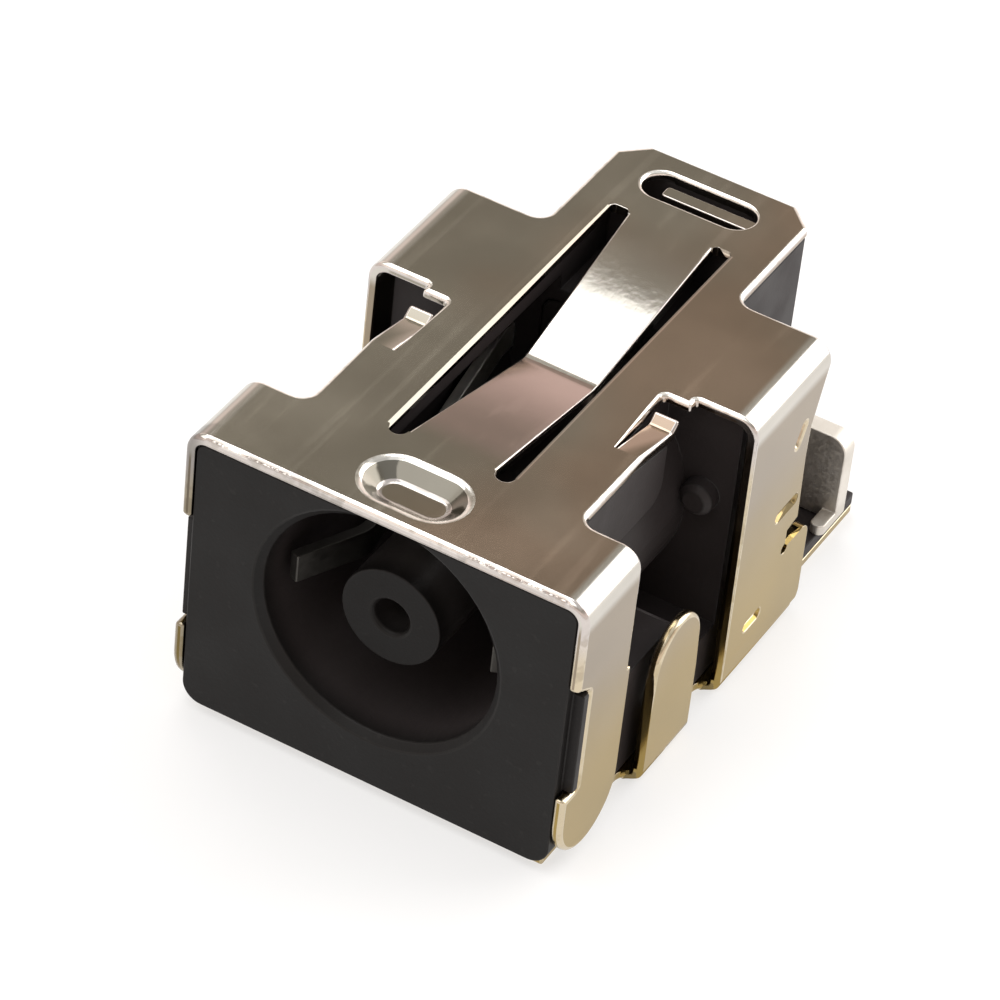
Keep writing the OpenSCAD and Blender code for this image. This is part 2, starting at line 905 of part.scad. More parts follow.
// Post blades: one each side of the post, bowed out against the plug's inner
// barrel, and joined by a bridge over the signal tail behind the insert.
module post_contact() {
    z0 = bore_z - strip_h[1] / 2;
    leg = [blade_in + contact_t - leg_w, blade_in + contact_t];
    color([0.74, 0.70, 0.62])
    in_frame() {
        both_sides() {
            along_z(z0, z0 + strip_h[1]) {
                crowned_strip(blade_root, blade_apex, blade_tip, crown_r, contact_t);
                mirror([1, 0])
                    leg_and_on(flip(blade_apex), flip(blade_root), contact_t,
                        [
                            flip([blade_in + contact_t, bore_floor + 1]),
                            flip([blade_in + contact_t, tail_plane + contact_t]),
                            flip([blade_in, tail_plane + contact_t])
                        ]);
            }
            along_x(leg[0], leg[1])
                solder_tail(z0 + strip_h[1]);
        }
        along_y(tail_plane, tail_plane + contact_t) {
            translate([-leg[1], bridge_z[0]])
                square([2 * leg[1], bridge_z[1] - bridge_z[0]]);
            for (side = [-1, 1]) {
                translate([side * (leg[0] + leg[1]) / 2 - leg_w / 2, z0])
                    square([leg_w, bridge_z[1] - z0]);
            }
        }
    }
}

// Side contact for the right: a long spring that leans into the bore and flares
// out again at its tip, a strip back through the housing, and a lug that turns
// out behind the wing and ends in a short prong on the ledge.
module side_contact() {
    z0 = bore_z - strip_h[0] / 2;
    lug_back = lug_front + lug[0];
    along_z(z0, z0 + strip_h[0]) {
        crowned_strip(spring_tip, spring_apex, spring_root, crown_r, contact_t);
        leg_and_on(spring_apex, spring_root, contact_t, [
            [side_x, wing_back],
            [side_x, lug_back],
            [side_x + contact_t, lug_back]
        ]);
    }
    // Drop from the strip to the lug
    along_x(side_x, side_x + contact_t)
        translate([lug_front - 0.5, lug_low])
            square([lug_back - lug_front + 0.5, z0 + strip_h[0] - lug_low]);
    along_y(lug_front, lug_back)
        rounded([side_x, lug_low], [lug_out, lug[1]], [0, 0, lug_corner, 0]);
    along_z(lug_low, lug_low + contact_t)
        rounded([lug_out - 0.3, lug_front - prong_l], [lug_out, lug_back],
            [0.13, 0.13, 0, 0]);
}

module right_contact() {
    color([0.74, 0.70, 0.62])
    in_frame()
        side_contact();
}

module left_contact() {
    color([0.74, 0.70, 0.62])
    in_frame()
        mirror([1, 0, 0])
            side_contact();
}

shell();
housing();
rear_insert();
signal_contact();
post_contact();
left_contact();
right_contact();
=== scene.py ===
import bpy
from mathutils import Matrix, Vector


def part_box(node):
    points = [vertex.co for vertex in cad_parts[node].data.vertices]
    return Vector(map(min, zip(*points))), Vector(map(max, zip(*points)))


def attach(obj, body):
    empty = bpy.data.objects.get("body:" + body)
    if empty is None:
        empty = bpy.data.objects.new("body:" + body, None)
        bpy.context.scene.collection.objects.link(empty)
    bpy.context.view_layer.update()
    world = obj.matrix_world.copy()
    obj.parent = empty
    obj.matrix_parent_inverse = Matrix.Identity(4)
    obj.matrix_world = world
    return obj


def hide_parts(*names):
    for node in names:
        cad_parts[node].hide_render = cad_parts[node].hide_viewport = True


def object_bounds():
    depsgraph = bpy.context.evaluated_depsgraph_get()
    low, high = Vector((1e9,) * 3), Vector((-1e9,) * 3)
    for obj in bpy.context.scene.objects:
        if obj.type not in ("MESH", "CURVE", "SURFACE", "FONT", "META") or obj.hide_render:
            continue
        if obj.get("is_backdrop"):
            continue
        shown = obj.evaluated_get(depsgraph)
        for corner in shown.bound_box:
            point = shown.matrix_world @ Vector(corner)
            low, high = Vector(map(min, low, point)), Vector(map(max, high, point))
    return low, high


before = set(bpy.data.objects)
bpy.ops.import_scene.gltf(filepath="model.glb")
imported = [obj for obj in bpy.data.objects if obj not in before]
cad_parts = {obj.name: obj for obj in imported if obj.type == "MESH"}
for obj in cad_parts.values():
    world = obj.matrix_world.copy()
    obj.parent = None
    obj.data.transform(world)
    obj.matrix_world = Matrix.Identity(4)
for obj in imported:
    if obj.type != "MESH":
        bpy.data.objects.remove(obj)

"""Studio scene of a board-mount dc barrel jack.

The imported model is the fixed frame. Each sub-assembly is a class that makes its
finished pieces in the frame's own coordinates and dresses them; the finishes are
frozen dataclasses that build procedural materials; the studio is a pale floor
with soft light and one camera. Sizes are in millimetres until a mesh is placed:
x is counted from the middle plane, y from the middle backwards and z from the
circuit board.
"""

import logging
import math
from collections.abc import Callable
from dataclasses import dataclass
from enum import Enum

import bmesh
import bpy
from mathutils import Matrix, Vector
from mathutils.bvhtree import BVHTree

LOG = logging.getLogger("dc_jack")

MM = 0.001
BUMP_DEPTH = 0.01 * MM
ROOT_BODY = "root"
RIM = "rim"

Node = bpy.types.Node
Socket = bpy.types.NodeSocket
Sockets = bpy.types.bpy_prop_collection
Tree = bpy.types.NodeTree
Piece = bpy.types.Object
Edge = bmesh.types.BMEdge
Colour = tuple[float, float, float]
Point = tuple[float, float, float]
Span = tuple[float, float]


class Part(str, Enum):
    """The CAD nodes that get a finished piece."""

    SHELL = "shell"
    HOUSING = "housing"
    INSERT = "rear_insert"
    SIGNAL = "signal_contact"
    POST = "post_contact"
    LEFT = "left_contact"
    RIGHT = "right_contact"


class Slot(str, Enum):
    """The record's material slots."""

    SHELL_SHEET = "shell_sheet"
    HOUSING_PLASTIC = "housing_plastic"
    INSERT_PLASTIC = "insert_plastic"
    SIGNAL_METAL = "signal_metal"
    CONTACT_METAL = "contact_metal"


# ------------------------------------------------------------------ node kit


class NodeGraph:
    """A small helper that adds and joins nodes in one tree."""

    def __init__(self, tree: Tree) -> None:
        """Keeps the tree that nodes are added to."""
        self.tree = tree

    def add(self, kind: str, feeds: dict[str | int, object] | None = None,
            **settings: object) -> Node:
        """Adds a node.

        Args:
            kind: The node's bl_idname.
            feeds: A socket or a value for an input's name or number.
            settings: Attributes to set on it.

        Returns:
            The new node.
        """
        node = self.tree.nodes.new(kind)
        for name, value in settings.items():
            setattr(node, name, value)
        for key, value in (feeds or {}).items():
            self.feed(value, node.inputs[key])
        return node

    def feed(self, value: object, target: Socket) -> None:
        """Links a socket to an input, or sets the input's own value.

        Args:
            value: A socket, a number, a vector or an (r, g, b) colour.
            target: The input.
        """
        if isinstance(value, Socket):
            self.tree.links.new(value, target)
        elif target.type == "RGBA":
            target.default_value = (*value, 1.0)
        else:
            target.default_value = value

    def maths(self, operation: str, first: object, second: object = 0.0,
              clamp: bool = False) -> Socket:
        """Adds a Math node.

        Args:
            operation: The node's operation.
            first: A socket or a number.
            second: A socket or a number.
            clamp: Whether the result is kept between 0 and 1.

        Returns:
            The result's socket.
        """
        return self.add("ShaderNodeMath", {0: first, 1: second}, operation=operation,
                        use_clamp=clamp).outputs[0]

    def product(self, *factors: object) -> Socket:
        """Multiplies sockets and numbers together.

        Args:
            factors: The sockets and numbers.

        Returns:
            The product's socket.
        """
        total = factors[0]
        for factor in factors[1:]:
            total = self.maths("MULTIPLY", total, factor)
        return total

    def remap(self, value: Socket, span: Span, to: Span = (0.0, 1.0)) -> Socket:
        """Adds a smooth and clamped Map Range node.

        Args:
            value: The socket to remap.
            span: The values that the change runs between.
            to: The results at the two ends.

        Returns:
            The result's socket.
        """
        feeds = {"Value": value, "From Min": span[0], "From Max": span[1],
                 "To Min": to[0], "To Max": to[1]}
        return self.add("ShaderNodeMapRange", feeds,
                        interpolation_type="SMOOTHSTEP").outputs["Result"]

    def fade(self, place: Socket, span: Span, to: Span = (0.0, 1.0)) -> Socket:
        """Remaps a coordinate over a span in millimetres."""
        return self.remap(place, (span[0] * MM, span[1] * MM), to)

    def past(self, place: Socket, level: float) -> Socket:
        """Masks where a coordinate is past a level in millimetres."""
        return self.maths("GREATER_THAN", place, level * MM)

    def short_of(self, place: Socket, level: float) -> Socket:
        """Masks where a coordinate is short of a level in millimetres."""
        return self.maths("LESS_THAN", place, level * MM)

    def mix(self, factor: object, first: object, second: object) -> Socket:
        """Adds a colour Mix node.

        Args:
            factor: A socket or a number.
            first: A socket or an (r, g, b) colour.
            second: A socket or an (r, g, b) colour.

        Returns:
            The mixed colour's socket.
        """
        return self.add("ShaderNodeMix", {0: factor, 6: first, 7: second},
                        data_type="RGBA").outputs[2]

    def noise(self, vector: Socket, scale: object, detail: float) -> Socket:
        """Adds a Noise Texture and returns its value."""
        feeds = {"Vector": vector, "Scale": scale, "Detail": detail}
        return self.add("ShaderNodeTexNoise", feeds).outputs["Fac"]

    def vector(self, operation: str, first: object, second: object = None) -> Socket:
        """Adds a Vector Math node of one or two vectors."""
        feeds = {0: first} if second is None else {0: first, 1: second}
        return self.add("ShaderNodeVectorMath", feeds, operation=operation).outputs[0]

    def scaled(self, vector: object, factor: object) -> Socket:
        """Multiplies a vector or a colour by a number."""
        return self.add("ShaderNodeVectorMath", {0: vector, "Scale": factor},
                        operation="SCALE").outputs[0]

    def split(self, vector: Socket) -> Sockets:
        """Splits a vector into its X, Y and Z."""
        return self.add("ShaderNodeSeparateXYZ", {0: vector}).outputs


def start_tree(name: str, kind: str, given: dict[str, object],
               results: dict[str, str]) -> tuple[NodeGraph, Sockets, Sockets]:
    """Starts a node tree and makes its sockets.

    Args:
        name: The tree's name.
        kind: The tree's bl_idname.
        given: For each input's name, a kind of socket, or a number for its default.
        results: The kind of socket for each output's name.

    Returns:
        The tree's graph, the sockets that it is given and those of its results.
    """
    tree = bpy.data.node_groups.new(name, kind)
    for way, items in (("INPUT", given), ("OUTPUT", results)):
        for label, value in items.items():
            plain = isinstance(value, float)
            made = tree.interface.new_socket(
                label, in_out=way, socket_type="NodeSocket" + ("Float" if plain else value))
            if plain:
                made.default_value = value
    graph = NodeGraph(tree)
    return graph, graph.add("NodeGroupInput").outputs, graph.add("NodeGroupOutput").inputs


def fine_scratches() -> Tree:
    """Builds the shared group of fine handling scratches in two directions.

    Returns:
        The node group, with a vector, a scale and an amount in, and one mask out.
    """
    graph, given, results = start_tree(
        "fine_scratches", "ShaderNodeTree",
        {"Vector": "Vector", "Scale": 2600.0, "Amount": 1.0}, {"Scratches": "Float"})
    lines = []
    for turn, squeeze in ((0.5, 0.03), (-0.9, 0.05)):
        feeds = {"Vector": given["Vector"], "Rotation": (0.2, 0.3, turn),
                 "Scale": (1.0, squeeze, 1.0)}
        turned = graph.add("ShaderNodeMapping", feeds, vector_type="POINT").outputs[0]
        lines.append(graph.remap(graph.noise(turned, given["Scale"], 2.0), (0.60, 0.70)))
    graph.feed(graph.product(graph.maths("MAXIMUM", *lines), given["Amount"]),
               results["Scratches"])
    return graph.tree


def edge_highlight_and_wear() -> Tree:
    """Builds the shared group that masks the rounded edges with noise: on the sheet it breaks
    up their painted highlight, on the mouldings it makes them a little lighter.

    Returns:
        The node group, with a vector, the rim mask and a scale in, and the mask of
        the edges' painted highlight or lightening and a roughening out.
    """
    graph, given, results = start_tree(
        "edge_highlight_and_wear", "ShaderNodeTree", {"Vector": "Vector", "Rim": 0.0, "Scale": 3000.0},
        {"Highlight And Wear": "Float", "Rub": "Float"})
    noise = graph.noise(given["Vector"], given["Scale"], 2.0)
    for name, span, to in (("Highlight And Wear", (0.34, 0.50), (0.6, 1.0)),
                           ("Rub", (0.45, 0.70), (0.0, 1.0))):
        graph.feed(graph.product(graph.remap(noise, span, to), given["Rim"]), results[name])
    return graph.tree


def surface_detail() -> Tree:
    """Builds the shared group that gives grain, blotches and flecks.

    Returns:
        The node group, with inputs for scales and stretch, and three masks out.
    """
    graph, given, results = start_tree(
        "surface_detail", "ShaderNodeTree",
        {"Vector": "Vector", "Grain Scale": 9000.0, "Grain Stretch": 1.0,
         "Blotch Scale": 500.0, "Fleck Scale": 6000.0},
        {"Grain": "Float", "Blotch": "Float", "Fleck": "Float"})
    plain = given["Vector"]
    stretch = graph.add("ShaderNodeCombineXYZ",
                        {"X": 1.0, "Y": given["Grain Stretch"], "Z": 1.0})
    drawn = graph.vector("MULTIPLY", plain, stretch.outputs[0])
    for name, detail, vector in (("Grain", 3.0, drawn), ("Blotch", 4.0, plain),
                                 ("Fleck", 1.0, plain)):
        graph.feed(graph.noise(vector, given[name + " Scale"], detail), results[name])
    return graph.tree


# ------------------------------------------------------------------ finishes


@dataclass
class Palette:
    """A material in the making: its graph, its shader and its shared masks."""

    material: bpy.types.Material
    graph: NodeGraph
    vector: Socket
    rim: Socket

    def group(self, build: Callable[[], Tree], values: dict[str, object]) -> Sockets:
        """Places a shared group, which is built the first time it is asked for.

        Args:
            build: The function that builds it, which has the group's name.
            values: A value or a socket for each input's name.

        Returns:
            The sockets of the group's results.
        """
        tree = bpy.data.node_groups.get(build.__name__) or build()
        feeds = {"Vector": self.vector, **values}
        return self.graph.add("ShaderNodeGroup", feeds, node_tree=tree).outputs

    def wear(self, scale: float) -> Sockets:
        """Places the noisy edge masks, fed by the piece's rim mask; on the sheet they carry its
        painted edge highlight.
        """
        return self.group(edge_highlight_and_wear, {"Scale": scale, "Rim": self.rim})

    def scratches(self, scale: float, amount: float) -> Socket:
        """Places the scratches and returns their mask."""
        return self.group(fine_scratches, {"Scale": scale, "Amount": amount})["Scratches"]


@dataclass(frozen=True)
class Finish:
    """What every finish has: a name, its grain, its bump and its roughness. A
    subclass mixes the colour and says how the surface rises."""

    name: str
    grain_scale: float
    grain_stretch: float
    blotch_scale: float
    bump: float
    roughness: Span

    def begin(self) -> tuple[Palette, Sockets]:
        """Starts the material.

        Returns:
            The palette that the finish is mixed on, and the surface detail's masks.
        """
        material = bpy.data.materials.new(self.name)
        material.use_nodes = True
        graph = NodeGraph(material.node_tree)
        palette = Palette(material, graph, graph.add("ShaderNodeTexCoord").outputs["Object"],
                          graph.add("ShaderNodeAttribute", attribute_name=RIM).outputs["Fac"])
        detail = palette.group(surface_detail, {"Grain Scale": self.grain_scale,
                                                "Grain Stretch": self.grain_stretch,
                                                "Blotch Scale": self.blotch_scale})
        return palette, detail

    def complete(self, palette: Palette, values: dict[str, object], height: Socket,
                 normal: Socket | None = None) -> bpy.types.Material:
        """Feeds the shader and raises the surface as strongly as the finish says.

        Args:
            palette: The palette of the finish.
            values: A socket or a plain value for each of the shader's inputs.
            height: The height, as a number from the surface outwards.
            normal: The normal to start from, where it isn't the surface's own.

        Returns:
            The material.
        """
        feeds = {"Strength": self.bump, "Distance": BUMP_DEPTH, "Height": height}
        if normal is not None:
            feeds["Normal"] = normal
        bump = palette.graph.add("ShaderNodeBump", feeds)
        shader = palette.material.node_tree.nodes["Principled BSDF"]
        for name, value in {**values, "Normal": bump.outputs["Normal"]}.items():
            palette.graph.feed(value, shader.inputs[name])
        return palette.material


@dataclass(frozen=True)
class SheetFinish(Finish):
    """Nickel-plated sheet, brown and olive on top and golden towards the board; the
    gold is a painted reflection. Painted highlights lie on the side bends, the
    rounded edges and the tongue's rear half, a painted reflection on the tongue's
    front half, and painted shade in the dimple and on the left front edge and foot.

    A place's letter says how it is measured: out sideways from the middle plane
    for x, and along the frame's own axes for y and z. A span fades from its first
    value to its second.
    """

    top: Colour
    top_warm: Colour
    warm_x: float
    warm_lean: float
    drift_scale: float
    wall: Colour
    # golden: a painted warm reflection on the walls, rising from the board.
    golden: Colour
    golden_z: Span
    golden_wander: float
    plate_z: Span
    # bend: a painted highlight on the side bends of the top plate.
    bend: Colour
    bend_x: Span
    bend_z: Span
    tongue_x: float
    crease_y: float
    # The tongue's rear half has a painted highlight and its front half a painted reflection.
    tongue_rear: Colour
    rear_y: Span
    tongue_front: Colour
    front_y: Span
    # dimple: painted shade in the recessed dimple.
    dimple: Colour
    dimple_x: float
    dimple_y: float
    dimple_z: Span
    # The edge colours are painted highlights on the rounded edges: near white at the top,
    # dimmer and golden lower down.
    edge: Colour
    edge_z: Span
    edge_mid: Colour
    edge_low: Colour
    edge_mid_z: Span
    burred_x: Span
    burred_y: Span
    # Painted shade on the left front edge and its foot.
    dull_left: float
    dull_left_x: Span
    dull_left_y: Span
    ease_y: Span
    ease_end: float
    window_x: Span
    window_lean: float
    rubbed: float
    wear_scale: float = 3200.0
    scratch_scale: float = 2400.0
    scratch_amount: float = 0.35
    scratch_glint: float = 0.10
    blotch_shade: Span = (0.93, 1.06)
    roughened: float = 0.12
    bead_height: float = 1.2
    facing_up: float = 0.9

    def material(self) -> bpy.types.Material:
        """Builds the material."""
        palette, detail = self.begin()
        graph = palette.graph
        place = graph.split(palette.vector)
        out = graph.maths("ABSOLUTE", place["X"])
        wear = palette.wear(self.wear_scale)
        scratches = palette.scratches(self.scratch_scale, self.scratch_amount)
        faces = self.faces(graph, detail["Blotch"], place, out,
                           graph.noise(palette.vector, self.drift_scale, 2.0))
        # The rim faces take the painted edge highlights, broken up by noise.
        rimmed = graph.mix(wear["Highlight And Wear"], faces, self.rims(graph, wear["Rub"], place, out))
        shade = graph.maths("ADD", graph.remap(detail["Blotch"], (0.3, 0.7), self.blotch_shade),
                            graph.product(scratches, self.scratch_glint))
        # Painted shade: the left front edge and foot are darkened to half.
        left = graph.maths("MAXIMUM",
                           graph.fade(place["X"], self.dull_left_x, (self.dull_left, 1.0)),
                           graph.fade(place["Y"], self.dull_left_y))
        rough = graph.remap(detail["Blotch"], (0.25, 0.75), self.roughness)
        for mask in (scratches, wear["Rub"]):
            rough = graph.maths("ADD", rough, graph.product(mask, self.roughened))
        normal, fading = self.eased_root(graph, place, out)
        height = graph.maths("ADD", detail["Grain"],
                             graph.product(wear["Rub"], self.bead_height))
        height = graph.maths("ADD", height,
                             graph.product(detail["Fleck"], fading, self.rubbed))
        values = {"Base Color": graph.scaled(rimmed, graph.product(shade, left)),
                  "Roughness": rough, "Metallic": 1.0}
        return self.complete(palette, values, height, normal)

    def faces(self, graph: NodeGraph, blotch: Socket, place: Sockets, out: Socket,
              drift: Socket) -> Socket:
        """Mixes the colour of the faces, with their painted reflections, highlights and shade.

        Args:
            graph: The material's graph.
            blotch: The mask of wide blotches.
            place: The object coordinates.
            out: The distance from the middle plane.
            drift: A slow change over the top plate.

        Returns:
            The colour's socket.
        """
        # Painted golden reflection on the walls towards the board, its edge wandering with the
        # blotches.
        wander = graph.product(graph.maths("SUBTRACT", blotch, 0.5),
                               self.golden_wander * MM)
        rise = graph.fade(graph.maths("ADD", place["Z"], wander), self.golden_z)
        lean = graph.fade(place["X"], (-self.warm_x, self.warm_x),
                          (-self.warm_lean, self.warm_lean))
        warmth = graph.remap(graph.maths("ADD", drift, lean), (0.38, 0.62))
        body = graph.mix(graph.fade(place["Z"], self.plate_z),
                         graph.mix(rise, self.golden, self.wall),
                         graph.mix(warmth, self.top, self.top_warm))
        # Painted highlight on the side bends.
        bend_highlight = graph.product(graph.fade(out, self.bend_x), graph.fade(place["Z"], self.bend_z))
        on_tongue = graph.short_of(out, self.tongue_x)
        # Painted highlight on the tongue's rear half, then a painted reflection on its front
        # half.
        rear = graph.product(graph.past(place["Y"], self.crease_y),
                             graph.fade(place["Y"], self.rear_y, (1.0, 0.0)), on_tongue)
        front = graph.product(graph.short_of(place["Y"], self.crease_y),
                              graph.fade(place["Y"], self.front_y), on_tongue)
        # Painted shade in the dimple's recess.
        dimple = graph.product(graph.short_of(out, self.dimple_x),
                               graph.short_of(place["Y"], self.dimple_y),
                               graph.past(place["Z"], self.dimple_z[0]),
                               graph.short_of(place["Z"], self.dimple_z[1]))
        for mask, colour in ((bend_highlight, self.bend), (rear, self.tongue_rear),
                             (front, self.tongue_front), (dimple, self.dimple)):
            body = graph.mix(mask, body, colour)
        return body

    def rims(self, graph: NodeGraph, rub: Socket, place: Sockets, out: Socket) -> Socket:
        """Mixes the painted highlights of the rounded edges, near white at the top and
        dimmer and golden lower down; the top front edge's highlight is broken into
        beads on both sides of its middle.

        Args:
            graph: The material's graph.
            rub: The roughening along the edges.
            place: The object coordinates.
            out: The distance from the middle plane.

        Returns:
            The colour's socket.
        """
        whole = graph.maths("MAXIMUM", graph.fade(out, self.burred_x, (1.0, 0.0)),
                            graph.fade(place["Y"], self.burred_y))
        whole = graph.maths("MAXIMUM", whole, graph.remap(rub, (0.04, 0.2)))
        # Painted highlight along the top edge, left out in the burred runs except where rubbed.
        crest = graph.product(graph.fade(place["Z"], self.edge_z), whole)
        sides = graph.mix(graph.fade(place["Z"], self.edge_mid_z), self.edge_low,
                          self.edge_mid)
        return graph.mix(crest, sides, self.edge)

    def eased_root(self, graph: NodeGraph, place: Sockets,
                   out: Socket) -> tuple[Socket, Socket]:
        """Eases the spring tongue out of the plate at its rear root, and rolls the
        plate's edges down along the tongue's window.

        Args:
            graph: The material's graph.
            place: The object coordinates.
            out: The distance from the middle plane.

        Returns:
            The eased normal, and a mask that peaks half way along the ease.
        """
        own = graph.add("ShaderNodeNewGeometry").outputs["Normal"]
        upward = graph.maths("GREATER_THAN", graph.split(own)["Z"], self.facing_up)
        ease = graph.product(graph.short_of(out, self.tongue_x), upward,
                             graph.fade(place["Y"], self.ease_y),
                             graph.short_of(place["Y"], self.ease_end))
        flat = graph.add("ShaderNodeMix", {0: ease, 4: own, 5: (0.0, 0.0, 1.0)},
                         data_type="VECTOR").outputs[1]
        beside = graph.product(graph.past(out, self.window_x[0] - 0.01), upward,
                               graph.past(place["Y"], self.front_y[0]),
                               graph.short_of(place["Y"], self.ease_y[1]))
        lean = graph.product(graph.maths("SIGN", place["X"]), -1.0, beside,
                             graph.fade(out, self.window_x, (self.window_lean, 0.0)))
        tip = graph.add("ShaderNodeCombineXYZ", {"X": lean}).outputs[0]
        even = graph.vector("NORMALIZE", graph.vector("ADD", flat, tip))
        rest = graph.maths("SUBTRACT", 1.0, ease)
        return even, graph.product(ease, rest, 4.0)


@dataclass(frozen=True)
class MouldedFinish(Finish):
    """Black moulded plastic with a fine spark-eroded texture and pale dust; its
    rounded edges are a little lighter, and behind its front face it turns a little lighter."""

    colour: Colour
    edge: Colour
    dust: Colour
    dust_amount: float
    inner: Colour
    inner_y: Span
    gloss: float
    wear_scale: float = 2200.0
    wear_amount: float = 0.6
    haze_share: float = 0.5

    def material(self) -> bpy.types.Material:
        """Builds the material."""
        palette, detail = self.begin()
        graph = palette.graph
        depth = graph.fade(graph.split(palette.vector)["Y"], self.inner_y)
        rimmed = graph.product(palette.wear(self.wear_scale)["Highlight And Wear"], self.wear_amount)
        body = graph.mix(rimmed, graph.mix(depth, self.colour, self.inner), self.edge)
        specks = graph.remap(detail["Fleck"], (0.66, 0.80), (0.0, self.dust_amount))
        haze = graph.remap(detail["Blotch"], (0.4, 0.8),
                           (0.0, self.dust_amount * self.haze_share))
        cover = graph.maths("ADD", specks, haze, clamp=True)
        values = {"Base Color": graph.mix(cover, body, self.dust),
                  "Roughness": graph.remap(detail["Blotch"], (0.3, 0.7), self.roughness),
                  "Specular IOR Level": self.gloss}
        return self.complete(palette, values, detail["Grain"])


@dataclass(frozen=True)
class StripFinish(Finish):
    """Plated contact strip with a dull tone along its grain; its front end, far in
    the bore, may carry painted shade."""

    colour: Colour
    dull: Colour
    deep: float = 1.0
    deep_y: Span = (-4.8, 2.5)
    scratch_scale: float = 3200.0
    scratch_amount: float = 0.3

    def material(self) -> bpy.types.Material:
        """Builds the material."""
        palette, detail = self.begin()
        graph = palette.graph
        body = graph.mix(graph.remap(detail["Blotch"], (0.35, 0.7)), self.colour, self.dull)
        scratches = palette.scratches(self.scratch_scale, self.scratch_amount)
        body = graph.mix(scratches, body, self.dull)
        # Painted shade: the strip darkens towards its front end in the bore.
        depth = graph.fade(graph.split(palette.vector)["Y"], self.deep_y, (self.deep, 1.0))
        values = {"Base Color": graph.scaled(body, depth), "Metallic": 1.0,
                  "Roughness": graph.remap(detail["Grain"], (0.3, 0.7), self.roughness)}
        return self.complete(palette, values, detail["Grain"])


# The nickel's golden low walls and tongue front are painted reflections, its bend, edge and
# tongue-rear colours painted highlights, and its dimple and left-front values painted shade.
NICKEL = SheetFinish(
    name="nickel_sheet", grain_scale=16000.0, grain_stretch=0.2, blotch_scale=420.0,
    bump=0.045, roughness=(0.13, 0.19), drift_scale=170.0,
    top=(0.36, 0.33, 0.275), top_warm=(0.385, 0.295, 0.225), warm_x=3.0, warm_lean=0.11,
    wall=(0.31, 0.255, 0.19), plate_z=(5.9, 6.2),
    golden=(0.37, 0.265, 0.09), golden_z=(1.7, 5.0), golden_wander=2.4,
    bend=(0.60, 0.57, 0.52), bend_x=(3.50, 3.62), bend_z=(5.68, 5.98),
    tongue_x=0.95, crease_y=-0.325, tongue_rear=(0.56, 0.53, 0.48), rear_y=(1.615, 3.555),
    tongue_front=(0.49, 0.385, 0.345), front_y=(-4.2, -3.3),
    dimple=(0.20, 0.185, 0.155), dimple_x=1.6, dimple_y=-4.25, dimple_z=(6.075, 6.31),
    edge=(0.92, 0.88, 0.82), edge_z=(6.24, 6.29), edge_mid=(0.60, 0.55, 0.52),
    edge_low=(0.62, 0.53, 0.38), edge_mid_z=(4.8, 5.8), burred_x=(1.3, 1.9),
    burred_y=(-6.2, -6.0), dull_left=0.5, dull_left_x=(-3.9, -3.5),
    dull_left_y=(-6.3, -5.9), ease_y=(1.255, 3.555), ease_end=3.855,
    window_x=(1.26, 1.335), window_lean=0.85, rubbed=9.0)
BLACK_MOULDING = MouldedFinish(
    name="black_moulding", grain_scale=16000.0, grain_stretch=1.0, blotch_scale=900.0,
    bump=0.3, roughness=(0.42, 0.55), gloss=0.20, colour=(0.0095, 0.0086, 0.0082),
    edge=(0.019, 0.0175, 0.0165), dust=(0.09, 0.085, 0.08), dust_amount=0.06,
    inner=(0.036, 0.030, 0.030), inner_y=(-6.38, -5.7))
BLACK_INSERT = MouldedFinish(
    name="black_insert", grain_scale=18000.0, grain_stretch=1.0, blotch_scale=1200.0,
    bump=0.3, roughness=(0.4, 0.5), gloss=0.15, colour=(0.009, 0.008, 0.0076),
    edge=(0.018, 0.0165, 0.0155), dust=(0.08, 0.075, 0.07), dust_amount=0.05,
    inner=(0.034, 0.030, 0.029), inner_y=(-5.86, -5.3))
# The tin strips carry painted shade at their front ends in the bore.
TIN_STRIP = StripFinish(
    name="tin_strip", grain_scale=12000.0, grain_stretch=0.2, blotch_scale=1100.0,
    bump=0.04, roughness=(0.46, 0.58), colour=(0.80, 0.76, 0.70), dull=(0.68, 0.64, 0.58),
    deep=0.12)
GOLD_STRIP = StripFinish(
    name="gold_strip", grain_scale=12000.0, grain_stretch=0.2, blotch_scale=1100.0,
    bump=0.012, roughness=(0.24, 0.36), colour=(0.83, 0.62, 0.30), dull=(0.66, 0.50, 0.27))


# ------------------------------------------------------------------ meshes

# Joining the triangles: points this near are one, and faces this flat are one.
WELD = 0.0005
COPLANAR = math.radians(0.6)
# Room at a corner: shorter sides give none, and straighter ones don't limit it.
TOO_SHORT = 1e-6
STRAIGHT_ON = math.pi - 0.02
NEARLY_STRAIGHT = math.pi - 0.2
SMOOTH_SHARE = 0.45
# Smooth runs: the sharpest turn in one, how fast its width may change, and passes.
RUN_TURN = math.radians(50.0)
RUN_SLOPE = 0.4
RUN_SLACK = 1e-5
RUN_PASSES = 40
# Rounding: how often it is tried again, and the material indices that it leaves.
TRIES = 6
FACE_INDEX = 0
RIM_INDEX = 1


def add_object(name: str, data: bpy.types.ID) -> Piece:
    """Makes an object of its data and puts it in the scene.

    Args:
        name: The object's name.
        data: Its mesh, light or camera.

    Returns:
        The object.
    """
    made = bpy.data.objects.new(name, data)
    bpy.context.scene.collection.objects.link(made)
    return made


